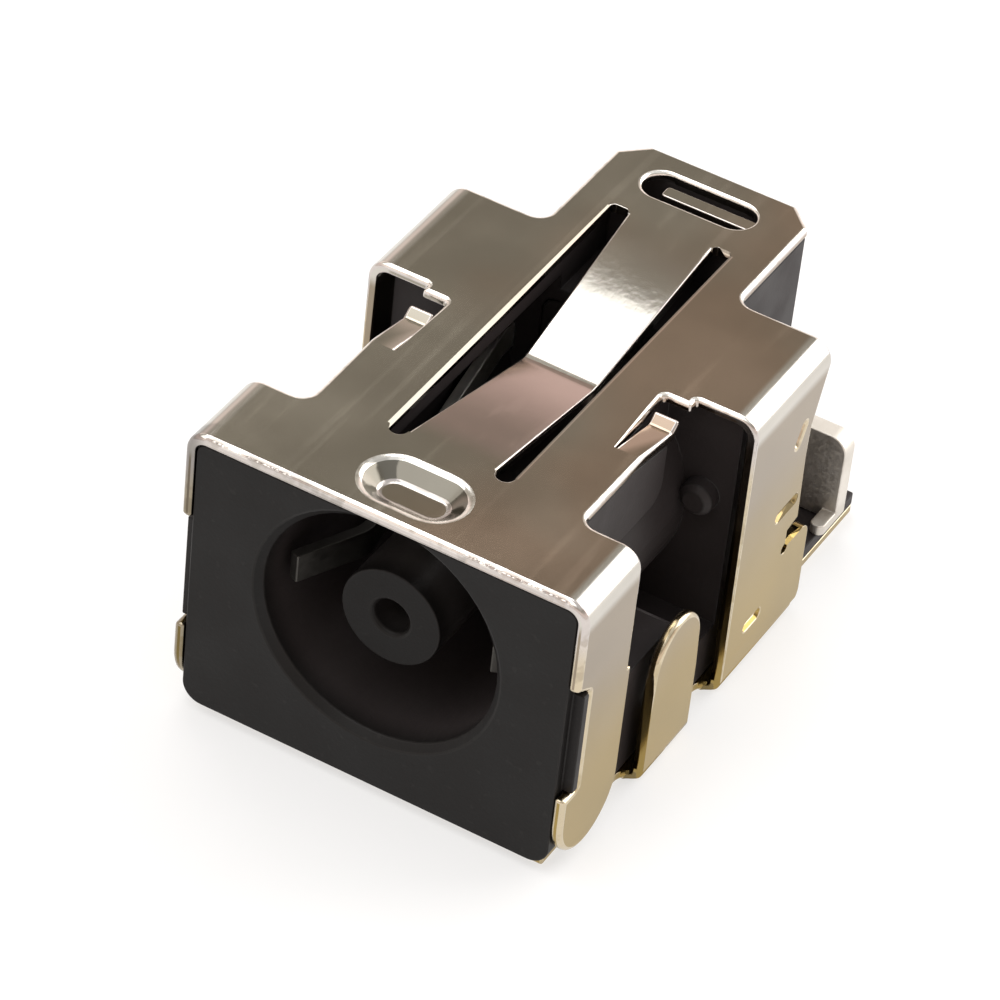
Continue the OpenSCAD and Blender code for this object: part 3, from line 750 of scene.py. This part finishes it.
def corner_room(edge: Edge, loop: bmesh.types.BMLoop, sharp: Callable[[Edge], bool],
                share: float) -> float:
    """How wide an edge's rounding may be in one face before it runs into the next edge.

    Args:
        edge: The edge that is to be rounded.
        loop: The edge's loop in the face.
        sharp: Says whether an edge is rounded too.
        share: The part of a face's width that the edge may use.

    Returns:
        The widest rounding that the face has room for at both ends.
    """
    room = math.inf
    along = loop.link_loop_next.vert.co - loop.vert.co
    before, after = loop.link_loop_prev, loop.link_loop_next
    ends = ((along, before.vert.co - loop.vert.co, before.edge, 1),
            (-along, after.link_loop_next.vert.co - after.vert.co, after.edge, -1))
    for way, other_way, other, hand in ends:
        if way.length < TOO_SHORT or other_way.length < TOO_SHORT:
            return 0.0
        turn = way.angle(other_way)
        reflex = way.cross(other_way).dot(loop.face.normal) * hand < 0
        if sharp(other):
            if not reflex and turn < STRAIGHT_ON:
                length = min(way.length, other_way.length)
                room = min(room, share * length * math.tan(turn / 2))
        elif turn < NEARLY_STRAIGHT:
            room = min(room, SMOOTH_SHARE * other_way.length * math.sin(turn))
    return room


def even_out(shape: bmesh.types.BMesh, widths: dict[int, float]) -> None:
    """Keeps the width nearly the same from one edge to the next along a smooth run.

    Args:
        shape: The joined mesh.
        widths: The width for each rounded edge's index, changed in place.
    """
    pairs = []
    for vert in shape.verts:
        run = [edge for edge in vert.link_edges if edge.index in widths]
        if len(run) != 2:
            continue
        ways = [edge.other_vert(vert).co - vert.co for edge in run]
        turn = math.pi - ways[0].angle(ways[1], 0.0)
        if turn < RUN_TURN:
            step = RUN_SLOPE * math.sin(turn) * min(way.length for way in ways)
            one, other = run[0].index, run[1].index
            pairs += [(one, other, step), (other, one, step)]
    for _ in range(RUN_PASSES):
        settled = True
        for wide, narrow, step in pairs:
            if widths[wide] > widths[narrow] + step + RUN_SLACK:
                widths[wide] = widths[narrow] + step
                settled = False
        if settled:
            break


@dataclass(frozen=True)
class EdgeBreak:
    """How the edges of a piece are broken: the radius that stamping or a mould
    leaves, in millimetres, and the angle in degrees above which an edge gets it.

    A rolled edge is one that gets a wider radius; roll gives its width at a point,
    and shares the part of a face that a plain and a rolled edge may use. A width
    below the least share of the radius is left out. A face or point has strayed
    where it is further from the skin than its share of the widest rounding, or
    touches it inside out; edges within the reach, in radii, then stay sharp.
    """

    radius: float
    segments: int = 3
    angle: float = 30.0
    roll: Callable[[Vector], float] | None = None
    shares: Span = (0.45, 0.45)
    least: float = 0.25
    stray_face: float = 0.55
    stray_point: float = 0.75
    stray_reach: float = 3.0
    touching: float = 0.004
    inside_out: float = -0.5

    def apply(self, part: Part, name: str) -> Piece:
        """Copies a CAD node's mesh, joins its triangles and rounds its edges.

        Args:
            part: The CAD node to copy.
            name: Name of the finished piece.

        Returns:
            The finished piece, at the origin, in metres.
        """
        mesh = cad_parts[part.value].data.copy()
        mesh.name = name
        shape = bmesh.new()
        shape.from_mesh(mesh)
        bmesh.ops.scale(shape, vec=Vector((1 / MM,) * 3), verts=shape.verts)
        bmesh.ops.remove_doubles(shape, verts=shape.verts, dist=WELD)
        bmesh.ops.dissolve_limit(shape, angle_limit=COPLANAR, verts=shape.verts,
                                 edges=shape.edges, delimit={"NORMAL"})
        widths = self.widths(shape)
        skin = BVHTree.FromBMesh(shape)
        widest = max(widths.values(), default=self.radius)
        piece = add_object(name, mesh)
        for _ in range(TRIES):
            self.round_edges(piece, shape, widths, widest)
            stray = self.stray_points(piece, skin, widest)
            if not stray:
                break
            for index, edge in enumerate(shape.edges):
                if any((vert.co - point).length < self.stray_reach * self.radius
                       for vert in edge.verts for point in stray):
                    widths[index] = 0.0
        shape.free()
        flatten(piece)
        low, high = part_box(part.value)
        for vert in piece.data.vertices:
            vert.co = [min(max(value, low[axis]), high[axis])
                       for axis, value in enumerate(vert.co)]
        return piece

    def widths(self, shape: bmesh.types.BMesh) -> dict[int, float]:
        """Finds how wide each edge may be rounded.

        Args:
            shape: The joined mesh, in millimetres.

        Returns:
            The width for each edge's index.
        """
        shape.edges.index_update()
        limit = math.radians(self.angle)

        def sharp(edge: Edge) -> bool:
            """Whether the edge is one that gets rounded."""
            return len(edge.link_faces) == 2 and edge.calc_face_angle(0.0) > limit

        widths: dict[int, float] = {}
        for edge in filter(sharp, shape.edges):
            middle = (edge.verts[0].co + edge.verts[1].co) / 2
            wanted = max(self.roll(middle) if self.roll else 0.0, self.radius)
            share = self.shares[wanted > self.radius]
            room = min(corner_room(edge, loop, sharp, share) for loop in edge.link_loops)
            width = min(wanted, room)
            widths[edge.index] = width if width > self.least * self.radius else 0.0
        even_out(shape, widths)
        return widths

    def round_edges(self, piece: Piece, shape: bmesh.types.BMesh,
                    widths: dict[int, float], widest: float) -> None:
        """Puts the edge widths on the piece and adds the rounding.

        Args:
            piece: The piece, whose mesh is written anew.
            shape: The joined mesh.
            widths: The width for each edge's index.
            widest: The widest of them.
        """
        piece.modifiers.clear()
        layers = shape.edges.layers.float
        layer = layers.get("bevel_weight_edge") or layers.new("bevel_weight_edge")
        for index, edge in enumerate(shape.edges):
            edge[layer] = widths.get(index, 0.0) / widest
        shape.to_mesh(piece.data)
        piece.data.materials.clear()
        for _ in (FACE_INDEX, RIM_INDEX):
            piece.data.materials.append(None)
        for face in piece.data.polygons:
            face.use_smooth = True
            face.material_index = FACE_INDEX
        bevel = piece.modifiers.new("edge", "BEVEL")
        bevel.width = widest
        bevel.segments = self.segments
        bevel.limit_method = "WEIGHT"
        bevel.use_clamp_overlap = False
        bevel.miter_outer = "MITER_ARC"
        bevel.material = RIM_INDEX
        weighted = piece.modifiers.new("normals", "WEIGHTED_NORMAL")
        weighted.weight = 80
        weighted.keep_sharp = True

    def stray_points(self, piece: Piece, skin: BVHTree, widest: float) -> list[Vector]:
        """Finds where the rounding went wrong.

        Args:
            piece: The piece with its live modifiers.
            skin: The surface before the rounding.
            widest: The widest rounding.

        Returns:
            Points that left the surface, or whose face turned inside out.
        """
        evaluated = piece.evaluated_get(bpy.context.evaluated_depsgraph_get())
        mesh = evaluated.to_mesh()
        stray = []
        for face in mesh.polygons:
            near, normal, _, gap = skin.find_nearest(face.center)
            if near is None:
                continue
            flipped = normal.dot(face.normal) < self.inside_out and gap < self.touching
            if flipped or gap > self.stray_face * widest:
                stray.append(face.center.copy())
        for vert in mesh.vertices:
            near, _, _, gap = skin.find_nearest(vert.co)
            if near is not None and gap > self.stray_point * widest:
                stray.append(vert.co.copy())
        evaluated.to_mesh_clear()
        if stray:
            LOG.info("%s: %d stray points", piece.name, len(stray))
        return stray


def flatten(piece: Piece) -> Piece:
    """Turns a piece with modifiers into a plain mesh and brings it to metres.

    Args:
        piece: The piece, in millimetres; its object must sit at the origin.

    Returns:
        The same piece, with its modifiers applied and removed.
    """
    evaluated = piece.evaluated_get(bpy.context.evaluated_depsgraph_get())
    made = bpy.data.meshes.new_from_object(evaluated)
    made.transform(Matrix.Scale(MM, 4))
    old = piece.data
    piece.modifiers.clear()
    piece.data = made
    made.name = piece.name
    bpy.data.meshes.remove(old)
    rim = made.attributes.new(RIM, "FLOAT", "FACE")
    rim.data.foreach_set("value", [float(face.material_index == RIM_INDEX)
                                   for face in made.polygons])
    return piece


def dress(piece: Piece, finish: bpy.types.Material) -> None:
    """Gives the whole piece one finish.

    Args:
        piece: The piece, a plain mesh.
        finish: The material that replaces its others.
    """
    piece.data.materials.clear()
    piece.data.materials.append(finish)
    for face in piece.data.polygons:
        face.material_index = FACE_INDEX


def grow(name: str, tree: Tree, values: dict[str, object], points: list[Point]) -> Piece:
    """Runs a Geometry Nodes tree and keeps its result as a plain mesh.

    Args:
        name: Name of the piece.
        tree: The tree to run.
        values: A value for each of the tree's named inputs.
        points: A line of points to start from, in millimetres.

    Returns:
        The piece, in metres.
    """
    mesh = bpy.data.meshes.new(name)
    mesh.from_pydata(points, [(index, index + 1) for index in range(len(points) - 1)], [])
    piece = add_object(name, mesh)
    modifier = piece.modifiers.new("shape", "NODES")
    modifier.node_group = tree
    for item in tree.interface.items_tree:
        if item.in_out == "INPUT" and item.name in values:
            modifier[item.identifier] = values[item.name]
    return flatten(piece)


def merge(name: str, parts: list[Piece]) -> Piece:
    """Joins meshes that belong to one stamping into one piece.

    Args:
        name: Name of the joined piece.
        parts: The pieces to join; they are removed.

    Returns:
        The joined piece.
    """
    shape = bmesh.new()
    for part in parts:
        shape.from_mesh(part.data)
    mesh = bpy.data.meshes.new(name)
    shape.to_mesh(mesh)
    shape.free()
    for face in mesh.polygons:
        face.use_smooth = True
    if RIM not in mesh.attributes:
        mesh.attributes.new(RIM, "FLOAT", "FACE")
    for part in parts:
        bpy.data.objects.remove(part)
    return add_object(name, mesh)


def output_mesh(graph: NodeGraph, shape: Socket, given: Sockets, results: Sockets) -> Tree:
    """Ends a Geometry Nodes tree with real geometry in its material.

    Args:
        graph: The tree's graph.
        shape: The shape to put out.
        given: The sockets that the tree is given.
        results: The sockets of its results.

    Returns:
        The tree.
    """
    real = graph.add("GeometryNodeRealizeInstances", {"Geometry": shape})
    finish = graph.add("GeometryNodeSetMaterial",
                       {"Geometry": real.outputs[0], "Material": given["Material"]})
    graph.feed(finish.outputs[0], results["Geometry"])
    return graph.tree


def burr_tree() -> Tree:
    """Builds the tree that sets small shearing burrs along a straight edge.

    Returns:
        The tree: start, end, count, size, wander, seed and material in.
    """
    graph, given, results = start_tree(
        "shear_burrs", "GeometryNodeTree",
        {"Geometry": "Geometry", "Start": "Vector", "End": "Vector", "Count": "Int",
         "Size": "Float", "Wander": "Float", "Seed": "Int", "Material": "Material"},
        {"Geometry": "Geometry"})

    def drawn(least: Point, most: Point, size: Socket) -> Socket:
        """Adds a random vector for each burr.

        Args:
            least: Its least values.
            most: Its most.
            size: What it is multiplied by.

        Returns:
            The vector's socket.
        """
        feeds = {0: least, 1: most, "Seed": given["Seed"]}
        draw = graph.add("FunctionNodeRandomValue", feeds, data_type="FLOAT_VECTOR")
        return graph.scaled(draw.outputs[0], size)

    line = graph.add("GeometryNodeCurvePrimitiveLine",
                     {"Start": given["Start"], "End": given["End"]})
    spaced = graph.add("GeometryNodeCurveToPoints",
                       {"Curve": line.outputs["Curve"], "Count": given["Count"]},
                       mode="COUNT")
    shift = drawn((-2.5, -0.35, -0.35), (2.5, 0.35, 0.35), given["Wander"])
    placed = graph.add("GeometryNodeSetPosition",
                       {"Geometry": spaced.outputs["Points"], "Offset": shift})
    bead = graph.add("GeometryNodeMeshIcoSphere", {"Radius": 1.0, "Subdivisions": 3})
    beads = graph.add("GeometryNodeInstanceOnPoints",
                      {"Points": placed.outputs["Geometry"], "Instance": bead.outputs["Mesh"],
                       "Scale": drawn((0.8, 0.55, 0.5), (2.6, 1.0, 0.95), given["Size"])})
    smooth = graph.add("GeometryNodeSetShadeSmooth", {"Geometry": beads.outputs["Instances"]})
    return output_mesh(graph, smooth.outputs["Geometry"], given, results)


def swept_strip_tree() -> Tree:
    """Builds the tree that bends a flat strip along a path of straight legs.

    Returns:
        The tree: the legs as a mesh line, thickness, width, edge radius, bend
        radius, the direction across the strip and material in.
    """
    graph, given, results = start_tree(
        "swept_strip", "GeometryNodeTree",
        {"Geometry": "Geometry", "Thickness": "Float", "Width": "Float",
         "Edge Radius": "Float", "Bend Radius": "Float", "Across": "Vector",
         "Material": "Material"}, {"Geometry": "Geometry"})

    def rounded(curve: Socket, radius: Socket, count: int) -> Socket:
        """Rounds the corners of a curve with a number of points."""
        feeds = {"Curve": curve, "Radius": radius, "Count": count, "Limit Radius": True}
        return graph.add("GeometryNodeFilletCurve", feeds, mode="POLY").outputs["Curve"]

    path = graph.add("GeometryNodeMeshToCurve", {"Mesh": given["Geometry"]}).outputs["Curve"]
    tangent = graph.add("GeometryNodeInputTangent").outputs["Tangent"]
    upright = graph.add("GeometryNodeSetCurveNormal", mode="FREE")
    graph.feed(rounded(path, given["Bend Radius"], 10), upright.inputs["Curve"])
    graph.feed(graph.vector("CROSS_PRODUCT", given["Across"], tangent),
               upright.inputs["Normal"])
    section = graph.add("GeometryNodeCurvePrimitiveQuadrilateral",
                        {"Width": given["Thickness"], "Height": given["Width"]},
                        mode="RECTANGLE").outputs["Curve"]
    sweep = graph.add("GeometryNodeCurveToMesh",
                      {"Curve": upright.outputs["Curve"], "Fill Caps": True,
                       "Profile Curve": rounded(section, given["Edge Radius"], 4)})
    return output_mesh(graph, sweep.outputs["Mesh"], given, results)


# ------------------------------------------------------------------ assemblies


@dataclass
class FinishedNode:
    """One CAD node with its edges broken and its finish on."""

    part: Part
    slot: Slot
    finish: bpy.types.Material
    edge: EdgeBreak

    def build(self) -> list[Piece]:
        """Makes the piece, puts it on the body and hides the CAD node.

        Returns:
            The pieces made.
        """
        piece = self.edge.apply(self.part, self.part.value + "_finished")
        dress(piece, self.finish)
        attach(piece, ROOT_BODY)
        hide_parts(self.part.value)
        return [piece]


@dataclass
class StampedShell:
    """The folded sheet shell: rounded edges, a rolled front edge and its burrs."""

    finish: bpy.types.Material
    front: float
    top: float
    half_width: float
    edge_radius: float = 0.055
    skin_radius: float = 0.10
    roll_radius: float = 0.136
    bend_radius: float = 0.42
    near: float = 0.01
    shares: Span = (0.29, 0.68)
    burr_size: float = 0.038
    burr_inset: float = 0.046
    burr_wander: float = 0.022
    burr_seed: int = 11
    burr_runs: tuple[tuple[float, float, int], ...] = (
        (-3.45, -1.85, 17),
        (1.55, 3.45, 19),
    )

    def roll(self, at: Vector) -> float:
        """Width of the rounding at a point: the blanking die rounds the outer skin's
        edges, and the top front edge is rolled over.

        Args:
            at: The middle of an edge, in millimetres.

        Returns:
            The width in millimetres.
        """
        centre = Vector((self.half_width - self.bend_radius, self.top - self.bend_radius))
        out = Vector((abs(at.x), at.z)) - centre
        if out.x > 0.0 and out.y > 0.0:
            outer = out.length > self.bend_radius - 2 * self.near
        else:
            outer = at.z > self.top - self.near or abs(at.x) > self.half_width - self.near
        if not outer:
            return self.edge_radius
        if abs(at.y - self.front) > 2 * self.near or at.z < self.top - self.bend_radius:
            return self.skin_radius
        share = max(0.0, math.atan2(out.x, out.y) / (math.pi / 2)) if out.x > 0.0 else 0.0
        return self.roll_radius + (self.skin_radius - self.roll_radius) * share

    def build(self) -> list[Piece]:
        """Makes the shell and its burrs.

        Returns:
            The pieces made.
        """
        edge = EdgeBreak(self.edge_radius, roll=self.roll, shares=self.shares)
        made = FinishedNode(Part.SHELL, Slot.SHELL_SHEET, self.finish, edge).build()
        return [*made, self.burrs()]

    def burrs(self) -> Piece:
        """Sets the burrs that shearing left along the front edge.

        Returns:
            The piece of all the burrs.
        """
        tree = burr_tree()
        y, z = self.front + self.burr_inset, self.top - self.burr_inset
        runs = []
        for index, (start, end, count) in enumerate(self.burr_runs):
            values = {"Start": (start, y, z), "End": (end, y, z), "Count": count,
                      "Size": self.burr_size, "Wander": self.burr_wander,
                      "Seed": self.burr_seed + index, "Material": self.finish}
            runs.append(grow(f"burrs_{index}", tree, values, [(0.0, 0.0, 0.0)] * 2))
        piece = merge("front_edge_burrs", runs)
        piece.data.attributes[RIM].data.foreach_set("value", [1.0] * len(piece.data.polygons))
        dress(piece, self.finish)
        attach(piece, ROOT_BODY)
        return piece


@dataclass
class PostBlades:
    """The stamping with the two post blades, their tails and the bridge.

    The blade line runs back from the tip, with x out from the middle plane; it
    and the tails' places are measured from the jack's front face.
    """

    finish: bpy.types.Material
    front: float
    bore_z: float = 3.7
    thickness: float = 0.22
    height: float = 0.7
    leg_width: float = 0.42
    blade_line: tuple[Span, ...] = ((1.03, 5.0), (1.43, 6.6), (1.01, 8.3))
    bend_radius: float = 0.61
    tail_bend: float = 0.12
    edge_radius: float = 0.03
    tail_plane: float = 12.12
    foot_end: float = 12.89
    bridge: Span = (4.4, 4.9)

    def build(self) -> list[Piece]:
        """Makes the stamping.

        Returns:
            The pieces made.
        """
        tree = swept_strip_tree()
        half = self.thickness / 2
        face = self.blade_line[-1][0]
        outside = face + self.thickness
        plane = self.tail_plane + half
        back = plane + self.front
        upright, sideways = (0.0, 0.0, 1.0), (1.0, 0.0, 0.0)
        centre = offset_line([*self.blade_line, (face, plane)], half)
        parts = []
        for side in (-1, 1):
            points = [(side * x, y + self.front, self.bore_z) for x, y in centre]
            parts.append(self.strip(tree, f"blade_{side}", points, self.height,
                                    self.bend_radius, upright))
            x = side * (outside - self.leg_width / 2)
            points = [(x, back, self.bridge[0]), (x, back, half),
                      (x, self.foot_end + self.front, half)]
            parts.append(self.strip(tree, f"tail_{side}", points, self.leg_width,
                                    self.tail_bend + half, sideways))
        low, high = self.bridge
        points = [(-outside, back, (low + high) / 2), (outside, back, (low + high) / 2)]
        parts.append(self.strip(tree, "bridge", points, high - low, 0.0, upright))
        piece = merge("post_contact_finished", parts)
        dress(piece, self.finish)
        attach(piece, ROOT_BODY)
        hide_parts(Part.POST.value)
        return [piece]

    def strip(self, tree: Tree, name: str, points: list[Point], width: float, bend: float,
              across: Point) -> Piece:
        """Bends one strip along a line of points."""
        values = {"Thickness": self.thickness, "Width": width,
                  "Edge Radius": self.edge_radius, "Bend Radius": bend,
                  "Across": across, "Material": self.finish}
        return grow(name, tree, values, points)


def offset_line(points: list[Span], gap: float) -> list[Span]:
    """Moves a line of straight legs to its right, keeping its corners mitred.

    Args:
        points: The line's points.
        gap: How far it moves.

    Returns:
        The moved points.
    """
    line = [Vector(point) for point in points]
    ways = [(after - before).normalized() for before, after in zip(line, line[1:])]
    sides = [Vector((way.y, -way.x)) for way in ways]
    moved = []
    for here, before, after in zip(line, sides[:1] + sides, sides + sides[-1:]):
        mean = (before + after).normalized()
        moved.append(tuple(here + mean * (gap / mean.dot(before))))
    return moved


@dataclass
class Jack:
    """The whole jack: the folded shell, the mouldings and the contacts."""

    cad_box: tuple[Vector, Vector]
    mould_edge: EdgeBreak = EdgeBreak(0.03)
    strip_edge: EdgeBreak = EdgeBreak(0.03)
    signal_edge: EdgeBreak = EdgeBreak(0.015, 2)

    def build(self) -> list[Piece]:
        """Builds every finished piece.

        Returns:
            The pieces made.
        """
        low, high = (corner / MM for corner in self.cad_box)
        tin = TIN_STRIP.material()
        parts = [
            StampedShell(NICKEL.material(), low.y, high.z, high.x),
            FinishedNode(Part.HOUSING, Slot.HOUSING_PLASTIC, BLACK_MOULDING.material(),
                         self.mould_edge),
            FinishedNode(Part.INSERT, Slot.INSERT_PLASTIC, BLACK_INSERT.material(),
                         self.mould_edge),
            FinishedNode(Part.SIGNAL, Slot.SIGNAL_METAL, GOLD_STRIP.material(),
                         self.signal_edge),
            PostBlades(tin, low.y),
            FinishedNode(Part.LEFT, Slot.CONTACT_METAL, tin, self.strip_edge),
            FinishedNode(Part.RIGHT, Slot.CONTACT_METAL, tin, self.strip_edge),
        ]
        return [piece for part in parts for piece in part.build()]


# ------------------------------------------------------------------ studio


def direction(azimuth: float, elevation: float) -> Vector:
    """Unit vector away from the object; azimuth 0 is in front, 90 to its right."""
    around, up = math.radians(azimuth), math.radians(elevation)
    return Vector((math.sin(around) * math.cos(up), -math.cos(around) * math.cos(up),
                   math.sin(up)))


@dataclass
class Softbox:
    """A soft area light, placed by its direction from the object, in metres."""

    name: str
    azimuth: float
    elevation: float
    width: float
    height: float
    power: float
    distance: float = 0.5

    def build(self, target: Vector) -> Piece:
        """Makes the light and aims it at the target.

        Args:
            target: The point to aim at, in metres.

        Returns:
            The light's object.
        """
        data = bpy.data.lights.new(self.name, "AREA")
        data.shape = "RECTANGLE"
        data.size = self.width
        data.size_y = self.height
        data.energy = self.power
        light = add_object(self.name, data)
        away = direction(self.azimuth, self.elevation)
        light.visible_camera = False
        light.location = target + away * self.distance
        light.rotation_euler = (-away).to_track_quat("-Z", "Y").to_euler()
        return light


@dataclass
class CameraRig:
    """The one camera, set by its angles round the object. The sensor and the lens
    are in millimetres, as the distance and the aim from the box's middle are."""

    azimuth: float = 26.224
    elevation: float = 40.008
    roll: float = 6.502
    distance: float = 91.861
    lens: float = 185.1
    sensor: float = 36.0
    clip: Span = (0.001, 10.0)
    aim: Point = (-0.188, -1.768, 0.283)

    def build(self, centre: Vector) -> Piece:
        """Makes the camera and sets it as the scene's.

        Args:
            centre: Middle of the object's box, in metres.

        Returns:
            The camera's object.
        """
        data = bpy.data.cameras.new("camera")
        data.lens = self.lens
        data.sensor_width = self.sensor
        data.clip_start, data.clip_end = self.clip
        camera = add_object("camera", data)
        back = direction(self.azimuth, self.elevation)
        right = direction(self.azimuth + 90.0, 0.0)
        up = back.cross(right)
        basis = Matrix((right, up, back)).transposed().to_4x4()
        spot = centre + (Vector(self.aim) + back * self.distance) * MM
        camera.matrix_world = (Matrix.Translation(spot) @ basis
                               @ Matrix.Rotation(math.radians(self.roll), 4, "Z"))
        bpy.context.scene.camera = camera
        return camera


@dataclass
class Studio:
    """Pale floor, soft light and a plain world."""

    floor_size: float = 3.0
    floor_colour: Colour = (0.42, 0.415, 0.41)
    floor_roughness: float = 0.9
    floor_glow: float = 0.60
    white: Colour = (1.0, 1.0, 1.0)
    world_stops: tuple[tuple[float, Colour], ...] = (
        (0.0, (0.80, 0.75, 0.71)),
        (0.33, (1.10, 0.94, 0.88)),
        (0.50, (0.46, 0.42, 0.37)),
        (0.68, (0.44, 0.41, 0.36)),
        (0.80, (0.58, 0.58, 0.57)),
        (1.0, (0.66, 0.66, 0.66)),
    )
    lights: tuple[Softbox, ...] = (
        Softbox("overhead", azimuth=0.0, elevation=84.0, width=0.9, height=0.9, power=0.4),
        Softbox("key", azimuth=224.0, elevation=62.0, width=0.22, height=0.22, power=0.52),
        Softbox("front", azimuth=-46.0, elevation=57.0, width=0.6, height=0.42, power=1.0),
        Softbox("back_side", azimuth=150.0, elevation=27.0, width=0.42, height=0.50,
                power=1.85),
    )

    def build(self, centre: Vector) -> None:
        """Makes the floor, the world and the lights.

        Args:
            centre: Middle of the object's box, in metres.
        """
        self.floor()
        self.world()
        for light in self.lights:
            light.build(centre)
        bpy.context.scene.view_settings.view_transform = "Standard"

    def floor(self) -> None:
        """Makes the floor and marks it as not part of the object."""
        mesh = bpy.data.meshes.new("floor")
        half = self.floor_size / 2
        corners = [(x * half, y * half, 0) for x, y in ((-1, -1), (1, -1), (1, 1), (-1, 1))]
        mesh.from_pydata(corners, [], [(0, 1, 2, 3)])
        floor = add_object("floor", mesh)
        material = bpy.data.materials.new("floor_paper")
        material.use_nodes = True
        graph = NodeGraph(material.node_tree)
        shader = material.node_tree.nodes["Principled BSDF"]
        values = {"Base Color": self.floor_colour, "Roughness": self.floor_roughness,
                  "Specular IOR Level": 0.0, "Emission Color": self.white,
                  "Emission Strength": graph.product(self.seen_rays(graph),
                                                     self.floor_glow)}
        for name, value in values.items():
            graph.feed(value, shader.inputs[name])
        mesh.materials.append(material)
        floor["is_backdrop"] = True

    @staticmethod
    def seen_rays(graph: NodeGraph) -> Socket:
        """Masks the rays that see the backdrop straight, through or in a reflection.

        Args:
            graph: The floor material's graph.

        Returns:
            The mask's socket.
        """
        path = graph.add("ShaderNodeLightPath").outputs
        seen = graph.maths("ADD", path["Is Camera Ray"], path["Is Glossy Ray"])
        return graph.maths("ADD", seen, path["Is Transmission Ray"], clamp=True)

    def world(self) -> None:
        """Builds the world's plain gradient from the horizon to overhead."""
        world = bpy.data.worlds.new("studio")
        bpy.context.scene.world = world
        world.use_nodes = True
        graph = NodeGraph(world.node_tree)
        ramp = graph.add("ShaderNodeValToRGB")
        while len(ramp.color_ramp.elements) < len(self.world_stops):
            ramp.color_ramp.elements.new(1.0)
        for element, (height, colour) in zip(ramp.color_ramp.elements, self.world_stops):
            element.position = height
            element.color = (*colour, 1.0)
        generated = graph.add("ShaderNodeTexCoord").outputs["Generated"]
        graph.feed(graph.split(generated)["Z"], ramp.inputs["Fac"])
        straight = graph.add("ShaderNodeLightPath").outputs["Is Camera Ray"]
        sky = graph.mix(straight, ramp.outputs["Color"], self.white)
        graph.feed(sky, world.node_tree.nodes["Background"].inputs["Color"])


def main() -> None:
    """Builds the jack, the camera and the studio."""
    logging.basicConfig(level=logging.INFO, format="%(name)s: %(message)s")
    cad_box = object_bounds()
    centre = (cad_box[0] + cad_box[1]) / 2
    CameraRig().build(centre)
    for piece in Jack(cad_box).build():
        LOG.info("%s: %d faces", piece.name, len(piece.data.polygons))
    Studio().build(centre)


if __name__ == "__main__":
    main()
